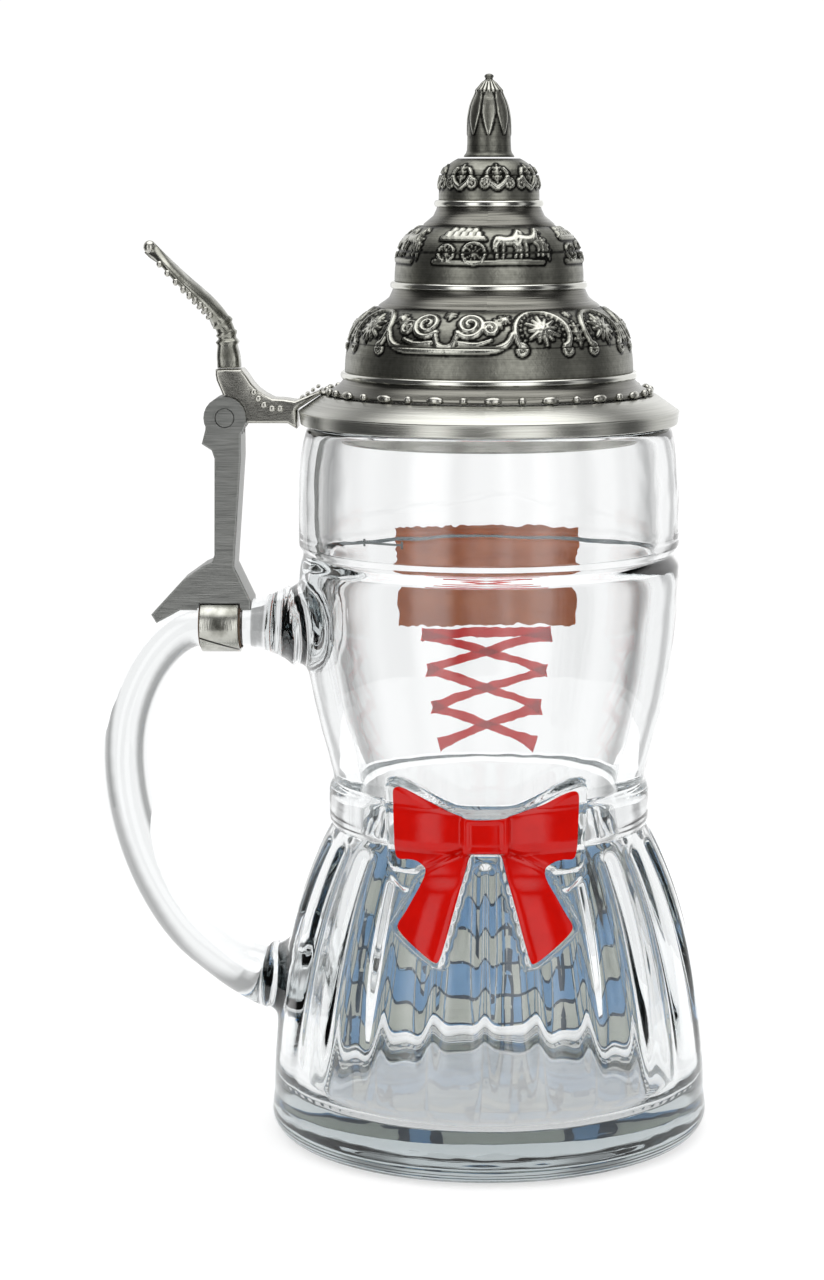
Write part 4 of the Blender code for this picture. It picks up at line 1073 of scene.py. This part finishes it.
def leaf(s, t, length, turn, width, lobes=3):
    """Marks of a pointed leaf with lobed sides and a rib."""
    marks = []
    ux, uy = cos(turn), sin(turn)
    for k in range(9):
        q = k / 8
        marks.append((s + ux * length * q, t + uy * length * q,
                      width * max(0.18, sin(pi * (0.12 + 0.84 * q)) * 0.55), 0.75))
    for k in range(lobes):
        q = 0.18 + 0.26 * k
        for side in (-1, 1):
            for out in (0.45, 0.8):
                marks.append((s + ux * length * (q + 0.12 * out) - side * uy * width * out,
                              t + uy * length * (q + 0.12 * out) + side * ux * width * out,
                              width * 0.26, 0.85 - 0.2 * out))
    return marks


def mirror_marks(marks):
    """The marks with their mirror images across s = 0."""
    return marks + [(-s, t, size, height) for s, t, size, height in marks]


# The lowest dome's ornament, in metres from its mirror line and up from the band's foot
low_quarter = spiral(0.0049, 0.0072, 0.0033, 2.1, radians(-140), 1, 0.00062, 0.00042)
low_quarter += spiral(0.0093, 0.0060, 0.0019, 1.6, radians(160), -1, 0.00050, 0.00036)
low_quarter += stroke([(0.0000, 0.0014), (0.0016, 0.0022), (0.0024, 0.0046)], 0.0008, 0.0005)
low_quarter += stroke([(0.0005, 0.0010), (0.0050, 0.0010), (0.0100, 0.0012), (0.0128, 0.0026), (0.0140, 0.0048)],
                      0.00095, 0.0006)
low_quarter += stroke([(0.0030, 0.0026), (0.0066, 0.0024), (0.0096, 0.0034)], 0.0006, 0.0003)
low_quarter += star_flower(0.0126, 0.0086, 0.0016, 8)
low_quarter += leaf(0.0000, 0.0086, 0.0036, pi / 2, 0.0012)
low_quarter += leaf(0.0118, 0.0062, 0.0030, radians(120), 0.0009)
for middle, ring in ((0.0207, 0.0061), (0.0373, 0.0061)):
    low_quarter += star_flower(middle, 0.0058, 0.0037, 12, 0.1)
    arch = [(middle + ring * cos(a), 0.0052 + ring * 0.98 * sin(a))
            for a in [radians(-38 + 256 * k / 16) for k in range(17)]]
    low_quarter += stroke(arch, 0.00062, 0.00062)
    for side in (-1, 1):
        low_quarter += spiral(middle + side * 0.0052, 0.0010, 0.0014, 1.2, radians(90), side, 0.0005, 0.0004)
        for k in range(7):
            a = radians(100 + side * (20 + 15 * k) if side > 0 else 80 - (20 + 15 * k))
            low_quarter.append((middle + 0.0049 * cos(a), 0.0056 + 0.0049 * sin(a), 0.00028, 0.8))
    low_quarter += leaf(middle, 0.0112, 0.0016, pi / 2, 0.0009, 2)
low_quarter += leaf(0.0290, 0.0016, 0.0062, pi / 2, 0.0014)
low_quarter += leaf(0.0290, 0.0090, 0.0030, pi / 2, 0.0010, 2)
low_quarter += leaf(0.0448, 0.0014, 0.0060, pi / 2, 0.0013)


def cart(s, t):
    """Marks of a dray with barrels and two spoked wheels."""
    marks = stroke([(s - 0.0052, t + 0.0042), (s + 0.0052, t + 0.0042)], 0.00040, 0.00040)
    marks += stroke([(s - 0.0052, t + 0.0036), (s + 0.0056, t + 0.0036)], 0.00030, 0.00030)
    for row, count in ((0.0053, 5), (0.0069, 4)):
        for k in range(count):
            x = s + (k - (count - 1) / 2) * 0.0019
            marks += stroke([(x, t + row - 0.0004), (x, t + row + 0.0004)], 0.00086, 0.00086)
    for x, radius in ((s - 0.0032, 0.0018), (s + 0.0030, 0.0024)):
        rim = [(x + radius * cos(a), t + 0.0004 + radius * sin(a)) for a in [2 * pi * k / 14 for k in range(15)]]
        marks += stroke(rim, 0.00030, 0.00030)
        marks.append((x, t + 0.0004, 0.00050, 1.2))
        for k in range(10):
            a = 2 * pi * k / 10
            marks += stroke([(x, t + 0.0004), (x + radius * cos(a), t + 0.0004 + radius * sin(a))],
                            0.00016, 0.00016, 0.8)
    return marks


def horse(s, t):
    """Marks of a plain harness horse, walking."""
    marks = stroke([(s - 0.0017, t + 0.0040), (s, t + 0.0037), (s + 0.0017, t + 0.0041)], 0.00115, 0.00110)
    marks += stroke([(s + 0.0018, t + 0.0044), (s + 0.0027, t + 0.0058), (s + 0.0031, t + 0.0066)], 0.00078, 0.00055)
    marks += stroke([(s + 0.0030, t + 0.0067), (s + 0.0040, t + 0.0057)], 0.00052, 0.00036)
    marks += stroke([(s - 0.0024, t + 0.0044), (s - 0.0031, t + 0.0028), (s - 0.0030, t + 0.0016)], 0.00040, 0.00022)
    for foot, knee in ((-0.0024, -0.0026), (-0.0012, -0.0010), (0.0014, 0.0020), (0.0026, 0.0030)):
        marks += stroke([(s + foot * 0.75, t + 0.0034), (s + knee, t + 0.0018), (s + foot, t - 0.0004)],
                        0.00052, 0.00028, 0.85)
    return marks


middle_quarter = cart(-0.0052, 0.0021) + horse(0.0052, 0.0018) + horse(0.0104, 0.0022)
middle_quarter += stroke([(-0.0110, 0.0006), (-0.0030, 0.0004), (0.0050, 0.0006), (0.0130, 0.0005)], 0.0005, 0.0005, 0.6)
middle_quarter += leaf(0.0146, 0.0012, 0.0056, radians(100), 0.0011)

top_eighth = mirror_marks(stroke([(0.0002, 0.0006), (0.0014, 0.0016), (0.0022, 0.0034), (0.0014, 0.0050)],
                                 0.00062, 0.00034)
                          + spiral(0.0024, 0.0014, 0.0011, 1.3, radians(90), -1, 0.00036, 0.00026))
top_eighth += leaf(0.0, 0.0016, 0.0044, pi / 2, 0.0010)

# each dome: columns, relief band's foot and height, marks, how many times round, first angle
ORNAMENTS = [(600, 0.0052, 0.0120, mirror_marks(low_quarter), 2, radians(-16.7), 0.0290),
             (440, 0.0042, 0.0092, middle_quarter, 4, radians(-2.0), 0.0195),
             (300, 0.0022, 0.0070, top_eighth, 8, radians(11), 0.0098)]

# Pewter blackened with patina and rubbed back: the relief's height says how bright it is, and the top of each dome
# is darkened with painted shade
antiqued, tree, shader = new_material("antiqued_pewter_relief", "#8A8A82", 0.35, 1.0)
worn = add_node(tree, "Attribute", attribute_name="worn").outputs["Fac"]
place = add_node(tree, "TexCoord").outputs["Object"]
patch = add_node(tree, "TexNoise", {"Vector": place, "Scale": 1 / 0.0012, "Detail": 3.0})
parts = add_node(tree, "SeparateXYZ", {0: place})
flat = add_node(tree, "CombineXYZ", {"X": parts.outputs["X"], "Y": parts.outputs["Y"]})
out = add_node(tree, "VectorMath", {0: flat.outputs["Vector"]}, operation="LENGTH")
lathe = add_node(tree, "CombineXYZ", {"X": out.outputs["Value"], "Z": parts.outputs["Z"]})
LATHE_MARKS = 0.00035
rings = add_node(tree, "TexNoise", {"Vector": lathe.outputs["Vector"], "Scale": 1 / LATHE_MARKS, "Detail": 2.0})
mottled = add_node(tree, "Math", {0: patch.outputs["Fac"], 1: rings.outputs["Fac"]}, operation="ADD")
uneven = add_node(tree, "MapRange", {"Value": mottled.outputs[0], "From Max": 2.0, "To Min": -0.30, "To Max": 0.30})
rubbed = add_node(tree, "Math", {0: worn, 1: uneven.outputs["Result"]}, operation="ADD")
tone = add_node(tree, "ValToRGB", {"Fac": rubbed.outputs[0]})
tone.color_ramp.elements[0].color = linear("#171715")
tone.color_ramp.elements[0].position = 0.08
tone.color_ramp.elements[1].color = linear("#B2B2AA")
tone.color_ramp.elements[1].position = 0.90
tone.color_ramp.elements.new(0.42).color = linear("#7C7C74")
tree.links.new(tone.outputs["Color"], shader.inputs["Base Color"])
rough = add_node(tree, "MapRange", {"Value": rubbed.outputs[0], "To Min": 0.46, "To Max": 0.18})
tree.links.new(rough.outputs["Result"], shader.inputs["Roughness"])
pits = add_node(tree, "TexNoise", {"Vector": place, "Scale": 1 / 0.0005, "Detail": 2.0})
tree.links.new(add_node(tree, "Bump", {"Height": pits.outputs["Fac"], "Strength": 0.5,
                                       "Distance": 0.00008}).outputs["Normal"], shader.inputs["Normal"])

for n, ((foot, top, foot_z, top_z), ornament) in enumerate(zip(tiers, ORNAMENTS), 1):
    columns, band_foot, band_height, marks, repeats, first_angle, mark_radius = ornament
    fine = arc((foot, foot_z), (foot, foot_z + 0.50 * (top_z - foot_z)),
               (0.94 * foot, foot_z + 0.82 * (top_z - foot_z)), (top, top_z), 200)
    outer = even_steps(fine, lambda z: GRID)
    lengths = [0.0]
    for (ar, az), (br, bz) in zip(outer, outer[1:]):
        lengths.append(lengths[-1] + hypot(br - ar, bz - az))
    rows = list(zip([r for r, z in outer], lengths))
    whole = lengths[-1]
    round_it = [(first_angle + 2 * pi * k / repeats + s / mark_radius, band_foot + t, size, height)
                for k in range(repeats) for s, t, size, height in marks]
    heights = emboss(round_it, rows, columns)
    shades = emboss([(a, t, size + HALO, 1.0) for a, t, size, _ in round_it], rows, columns)
    inner = [(r - LID_WALL, z - LID_WALL * 0.6) for r, z in fine[::-20]]
    bm = spun(outer + inner, columns, closed=True)
    wear_and_shade_layer = bm.verts.layers.float.new("worn")
    row_of = {round(z * 1e7): j for j, (r, z) in enumerate(outer)}
    for v in bm.verts:
        j = row_of.get(round(v.co.z * 1e7))
        radius = v.co.xy.length
        if j is None or abs(radius - outer[j][0]) > 0.0003:
            v[wear_and_shade_layer] = 0.1
            continue
        along = lengths[j]
        i = round(atan2(v.co.x, -v.co.y) / (2 * pi) * columns) % columns
        rise = heights[j][i]
        shade = FIELD * (1 - 0.92 * min(1.0, 1.4 * shades[j][i]))
        v[wear_and_shade_layer] = 0.26 + 0.62 * min(1.0, rise) ** 1.4 if rise > 0.12 else shade
        # painted shade: the metal is darkened over the last 1.6 mm of each dome, where it meets the next tier
        v[wear_and_shade_layer] *= 0.25 + 0.75 * min(1.0, (whole - along) / 0.0016)
        lift = RELIEF * rise * min(1.0, (whole - along) / 0.001)
        (ar, az), (br, bz) = outer[max(0, j - 1)], outer[min(len(outer) - 1, j + 1)]
        length = hypot(br - ar, bz - az)
        radius += lift * (bz - az) / length
        v.co.z -= lift * (br - ar) / length
        v.co.xy = v.co.xy.normalized() * radius
    lid_piece(new_piece(bm, f"relief_dome_{n}", antiqued), "lid_dome")

# ---------------------------------------------------------------- bead row
# Cast on the foot of the lowest dome, long and round beads in turn, all the way round.
BEAD_PAIRS = 18
BEAD_RADIUS_OUT = DOME_FOOT + 0.0001
BEAD_Z = dome_low.z + 0.0007
bm = bmesh.new()
for n in range(2 * BEAD_PAIRS):
    a = 2 * pi * (n + 0.25) / (2 * BEAD_PAIRS)
    size = Vector((0.00090, 0.00080, 0.00080)) if n % 2 else Vector((0.00195, 0.00082, 0.00085))
    turn = Matrix.Rotation(a, 4, "Z") @ Matrix.Translation((0, -BEAD_RADIUS_OUT, BEAD_Z))
    bmesh.ops.create_uvsphere(bm, u_segments=14, v_segments=9, radius=1, matrix=turn @ Matrix.Diagonal((*size, 1)))
beads = new_piece(bm, "bead_row", polished)
lid_piece(beads, "lid_dome")

# ---------------------------------------------------------------- finial
# A cast pewter bud: a plain flared stem, a ring of pointed petals, a ribbed cone and a ball.
# Antiqued like the domes and rubbed bright on its ribs.
finial_low, finial_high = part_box("lid_finial")
FINIAL_HEIGHT = finial_high.z - finial_low.z
FINIAL_RADIUS = 0.0055
FINIAL_COLUMNS = 140
PETALS = 8
RIBS = 18
CONE_LEDGE = 0.00022  # how far the ribbed cone stands out over the petals
bud = [(1.02, 0.000), (1.00, 0.020), (0.93, 0.045), (0.89, 0.080), (0.875, 0.16), (0.87, 0.25), (0.87, 0.36),
       (0.86, 0.46), (0.82, 0.54), (0.76, 0.62), (0.68, 0.685), (0.60, 0.735), (0.545, 0.775), (0.47, 0.815),
       (0.39, 0.850), (0.31, 0.880), (0.235, 0.905), (0.175, 0.925), (0.150, 0.935)]
ball = [(0.19 * sin(a), 0.9670 - 0.0330 * cos(a))
        for a in [pi * (0.28 + 0.72 * k / 9) for k in range(10)]]
stem = [(r * FINIAL_RADIUS, finial_low.z + h * FINIAL_HEIGHT) for r, h in bud + ball]
fine = even_steps([(0, stem[0][1])] + stem, lambda z: 0.00024)
bm = spun(fine, FINIAL_COLUMNS)
wear_and_shade_layer = bm.verts.layers.float.new("worn")
for v in bm.verts:
    h = (v.co.z - finial_low.z) / FINIAL_HEIGHT
    radius = v.co.xy.length
    angle = atan2(v.co.x, -v.co.y)
    v[wear_and_shade_layer] = 0.30
    if radius < 0.0002 or h < 0.02:
        continue
    rise = 0.0
    if 0.785 < h < 0.925:
        fade = smooth_step(0.785, 0.795, h) * (1 - smooth_step(0.895, 0.925, h))
        ridge = abs(cos(RIBS * angle / 2))
        rise = CONE_LEDGE * (1 - smooth_step(0.795, 0.86, h)) + 0.00022 * fade * ridge
        v[wear_and_shade_layer] = 0.05 + 0.90 * ridge ** 2
    elif 0.26 < h <= 0.785:
        across = abs((angle / (2 * pi) * PETALS + 0.5) % 1 - 0.5) * 2
        half = 0.88 * min(1.0, (h - 0.26) / 0.28) ** 0.75 * (1 - 0.25 * smooth_step(0.70, 0.785, h))
        raised = smooth_step(-0.06, 0.10, half - across)
        rim = raised * (1 - smooth_step(0.10, 0.30, half - across))
        rise = 0.00014 * raised
        v[wear_and_shade_layer] = 0.02 + 0.46 * raised + 0.34 * rim
        if across > half + 0.06:
            v[wear_and_shade_layer] = 0.02 + 0.32 * smooth_step(0.06, 0.5, across - half)
    radius += rise
    v.co.xy = v.co.xy.normalized() * radius
lid_piece(new_piece(bm, "finial", antiqued), "lid_finial")

# ---------------------------------------------------------------- lid arm
# A cast pewter arm, hooked over the pin and soldered to the flange. Its back carries a beaded
# panel, and it ends on the flange in a leaf with a scalloped tip.
arm_low, arm_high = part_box("lid_arm")
ARM_WIDTH = arm_high.y - arm_low.y
EAR_RADIUS = 0.0047
RING_WIDTH = 0.0024
RUNNING = 0.0002
SHELF_Z = band_top + 0.0003
edge_x = -FLANGE_RADIUS - 0.0003
bevel_end = edge_x + FLANGE_BEVEL * 1.5
block_top = arm_high.z


def side_plate(outline, width, edge):
    """A bmesh of an outline of (x, z) points, made this wide along Y and rounded at its sides."""
    bm = bmesh.new()
    face = bm.faces.new([bm.verts.new((x, -width / 2, z)) for x, z in outline])
    grown = bmesh.ops.extrude_face_region(bm, geom=[face])
    bmesh.ops.translate(bm, vec=(0, width, 0), verts=[v for v in grown["geom"] if isinstance(v, bmesh.types.BMVert)])
    bmesh.ops.recalc_face_normals(bm, faces=bm.faces)
    rims = [e for e in bm.edges if abs(e.verts[0].co.y - e.verts[1].co.y) < 1e-6]
    bmesh.ops.bevel(bm, geom=rims, affect="EDGES", offset=edge, segments=3, profile=0.5, material=-1)
    return bm


def pin_cylinder(radius, width, y=0.0, sides=48):
    """A bmesh of a cylinder round the hinge's axis."""
    bm = bmesh.new()
    bmesh.ops.create_cone(bm, cap_ends=True, segments=sides, radius1=radius, radius2=radius, depth=width,
                          matrix=Matrix.Translation((HINGE.x, y, HINGE.z)) @ Matrix.Rotation(pi / 2, 4, "X"))
    return bm


x, z = HINGE.x, HINGE.z
arm_outline = [(x, z), (x - 0.0004, z + 0.0046), (x - 0.0013, z + 0.0068), (x - 0.0019, z + 0.0082),
               (x - 0.0021, z + 0.0095), (x - 0.0021, block_top), (x + 0.0037, block_top),
               (x + 0.0048, z + 0.0092), (x + 0.0059, z + 0.0075), (x + 0.0072, z + 0.0061),
               (x + 0.0088, z + 0.0050), (x + 0.0105, z + 0.0041), (x + 0.0130, z + 0.0040),
               (edge_x - 0.0004, SHELF_Z + 0.0019), (bevel_end - 0.0010, SHELF_Z + FLANGE_BEVEL + 0.0003),
               (bevel_end, SHELF_Z + FLANGE_BEVEL + 0.0010), (bevel_end + 0.0002, SHELF_Z + FLANGE_BEVEL),
               (edge_x, SHELF_Z), (edge_x, FLANGE_BOTTOM - 0.0010), (edge_x - 0.0020, FLANGE_BOTTOM + 0.0002),
               (x + 0.0045, FLANGE_BOTTOM + 0.0002)]
arm = new_piece(side_plate(arm_outline, ARM_WIDTH, 0.0006), "arm", polished)
room = new_piece(pin_cylinder(EAR_RADIUS + 0.0003, 0.024), "ear_room", polished)
combined(arm, room, "DIFFERENCE").to_mesh(arm.data)
arm.data.shade_smooth()
arm.data.set_sharp_from_angle(angle=radians(35))
lid_piece(arm, "lid_arm")
for side, name in ((-1, "front"), (1, "rear")):
    bm = pin_cylinder(EAR_RADIUS - 0.0003, RING_WIDTH - 3 * RUNNING, side * RING_WIDTH)
    ear = new_piece(bm, f"arm_ear_{name}", polished)
    web_outline = [(x + 0.0010, z - 0.0008), (x + 0.0062, z + 0.0001), (x + 0.0056, z + 0.0062),
                   (x + 0.0004, z + 0.0064)]
    bm = side_plate(web_outline, RING_WIDTH - 3 * RUNNING, 0.0001)
    bmesh.ops.translate(bm, vec=(0, side * RING_WIDTH, 0), verts=bm.verts)
    bm = combined(ear, new_piece(bm, "web", polished), "UNION")
    bm.to_mesh(ear.data)
    bm.free()
    bore = new_piece(pin_cylinder(0.0017, 0.024), "bore", polished)
    combined(ear, bore, "DIFFERENCE").to_mesh(ear.data)
    ear.data.set_sharp_from_angle(angle=radians(35))
    lid_piece(ear, "lid_arm")

# The arm's ornament: a beaded panel on each side, and the leaf on the flange
for side, name in ((-1, "front"), (1, "rear")):
    bm = bmesh.new()
    panel = [(0.0086, 0.0028), (0.0104, 0.0020), (0.0122, 0.0020), (0.0074, 0.0042), (0.0064, 0.0056)]
    for px, pz in panel:
        spot = Matrix.Translation((x + px, side * ARM_WIDTH / 2, z + pz)) @ Matrix.Diagonal((0.00085, 0.0004, 0.00070, 1))
        bmesh.ops.create_uvsphere(bm, u_segments=14, v_segments=8, radius=1, matrix=spot)
    lid_piece(new_piece(bm, f"arm_panel_{name}", polished), "lid_arm")
bm = bmesh.new()
slope = atan2(FLANGE_BEVEL, FLANGE_BEVEL * 1.5)
for lobe in range(5):
    a = radians(-64 + 32 * lobe)
    spot = Matrix.Translation((bevel_end - 0.0004 + 0.0016 * cos(a), 0.0034 * sin(a), SHELF_Z + FLANGE_BEVEL + 0.0002)) \
        @ Matrix.Rotation(a, 4, "Z") @ Matrix.Diagonal((0.0019, 0.00105, 0.00055, 1))
    bmesh.ops.create_uvsphere(bm, u_segments=16, v_segments=10, radius=1, matrix=spot)
for rib in range(4):
    spot = Matrix.Translation((edge_x + 0.0010 + 0.0012 * rib, 0, SHELF_Z + 0.0026 + 0.0008 * rib)) \
        @ Matrix.Rotation(-slope, 4, "Y") @ Matrix.Diagonal((0.0005, 0.0036 - 0.0004 * rib, 0.00045, 1))
    bmesh.ops.create_uvsphere(bm, u_segments=18, v_segments=10, radius=1, matrix=spot)
lid_piece(new_piece(bm, "arm_leaf", polished), "lid_arm")

# ---------------------------------------------------------------- thumblift
# A cast pewter lever on the arm's block: a collared shaft, a long leaf beaded along its edges
# that leans back over the handle, and a ball at its tip.
thumb_low, thumb_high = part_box("thumblift")
thumb_knots = [(x + 0.0006, thumb_low.z, 0, 0.0020, 1.05), (x + 0.0003, thumb_low.z + 0.0052, 0, 0.0020, 0.90),
               (x - 0.0022, thumb_low.z + 0.0118, -0.0020, 0.0024, 0.88),
               (x - 0.0084, thumb_low.z + 0.0180, -0.0026, 0.0024, 0.72),
               (thumb_low.x + 0.0012, thumb_high.z - 0.0012, -0.0012, 0.0011, 0.40)]
spine = []  # points of the lever's middle line with their direction and share of the way
for (ax, az, adx, adz, _), (bx, bz, bdx, bdz, _) in zip(thumb_knots, thumb_knots[1:]):
    spine += [Vector(p) for p in interpolate_bezier((ax, 0, az), (ax + adx, 0, az + adz), (bx - bdx, 0, bz - bdz),
                                                    (bx, 0, bz), 17)[:-1]]
spine.append(Vector((thumb_knots[-1][0], 0, thumb_knots[-1][1])))
lengths = [0.0]
for a, b in zip(spine, spine[1:]):
    lengths.append(lengths[-1] + (b - a).length)


def leaf_half(share):
    """Half the lever's width at this share of its length: block, shaft, leaf, tip."""
    if share < 0.13:
        return 0.0030
    if share < 0.30:
        return 0.0030 - 0.0009 * smooth_step(0.13, 0.20, share)
    return 0.0021 + 0.0026 * sin(pi * min(1.0, (share - 0.30) / 0.66)) ** 0.8 - 0.0012 * smooth_step(0.8, 1.0, share)


def leaf_thick(share):
    """Half the lever's thickness."""
    return 0.0026 - 0.0006 * smooth_step(0.05, 0.2, share) - 0.0006 * smooth_step(0.4, 0.95, share)


SECTION = 28
bm = bmesh.new()
rings = []
for n, (point, length) in enumerate(zip(spine, lengths)):
    share = length / lengths[-1]
    ahead = (spine[min(n + 1, len(spine) - 1)] - spine[max(0, n - 1)]).normalized()
    out = Vector((-ahead.z, 0, ahead.x))
    square = 0.55 + 0.45 * smooth_step(0.12, 0.30, share)
    collar = 0.00055 * max(0, cos(pi * (share - 0.17) / 0.036)) * (abs(share - 0.17) < 0.018) \
        + 0.00045 * max(0, cos(pi * (share - 0.225) / 0.03)) * (abs(share - 0.225) < 0.015) \
        + 0.00050 * max(0, cos(pi * (share - 0.30) / 0.036)) * (abs(share - 0.30) < 0.018)
    made = bmesh.ops.create_circle(bm, segments=SECTION, radius=1)["verts"]
    for v in made:
        c, s = v.co.x, v.co.y
        wide = (abs(c) ** square) * (1 if c > 0 else -1) * (leaf_half(share) + collar)
        deep = (abs(s) ** square) * (1 if s > 0 else -1) * (leaf_thick(share) + collar)
        if share > 0.32:
            hollow = 0.0006 * smooth_step(0.32, 0.42, share) * (1 - smooth_step(0.86, 0.96, share))
            deep -= hollow * max(0.0, 1 - (c / 0.75) ** 2) * (1 if s > 0 else 0)
            deep += 0.00035 * max(0.0, 1 - abs(c) / 0.16) * (1 if s > 0 else 0)
        v.co = point + Vector((0, 1, 0)) * wide + out * deep
    rings.append([e for e in bm.edges if all(w in made for w in e.verts)])
for a, b in zip(rings, rings[1:]):
    bmesh.ops.bridge_loops(bm, edges=a + b)
bmesh.ops.holes_fill(bm, edges=[e for e in bm.edges if e.is_boundary], sides=SECTION)
lever = new_piece(bm, "thumb_lever", antiqued)
worn_here = lever.data.attributes.new("worn", "FLOAT", "POINT")
for v, value in zip(lever.data.vertices, worn_here.data):
    value.value = 0.55 + 0.35 * noise.noise(v.co * 500)
lid_piece(lever, "thumblift")

bm = bmesh.new()
for n, (point, length) in enumerate(zip(spine, lengths)):
    share = length / lengths[-1]
    if 0.36 < share < 0.93 and n % 3 == 0:
        ahead = (spine[min(n + 1, len(spine) - 1)] - spine[max(0, n - 1)]).normalized()
        out = Vector((-ahead.z, 0, ahead.x))
        for side in (-1, 1):
            spot = point + Vector((0, side * (leaf_half(share) - 0.0004), 0)) + out * 0.0008
            bmesh.ops.create_uvsphere(bm, u_segments=12, v_segments=8, radius=0.00075,
                                      matrix=Matrix.Translation(spot))
        spot = point + out * (leaf_thick(share) - 0.0001)
        bmesh.ops.create_uvsphere(bm, u_segments=12, v_segments=8, radius=0.00055, matrix=Matrix.Translation(spot))
tip = spine[-1]
bmesh.ops.create_uvsphere(bm, u_segments=24, v_segments=16, radius=0.00145, matrix=Matrix.Translation(tip))
lid_piece(new_piece(bm, "thumb_beads", polished), "thumblift")
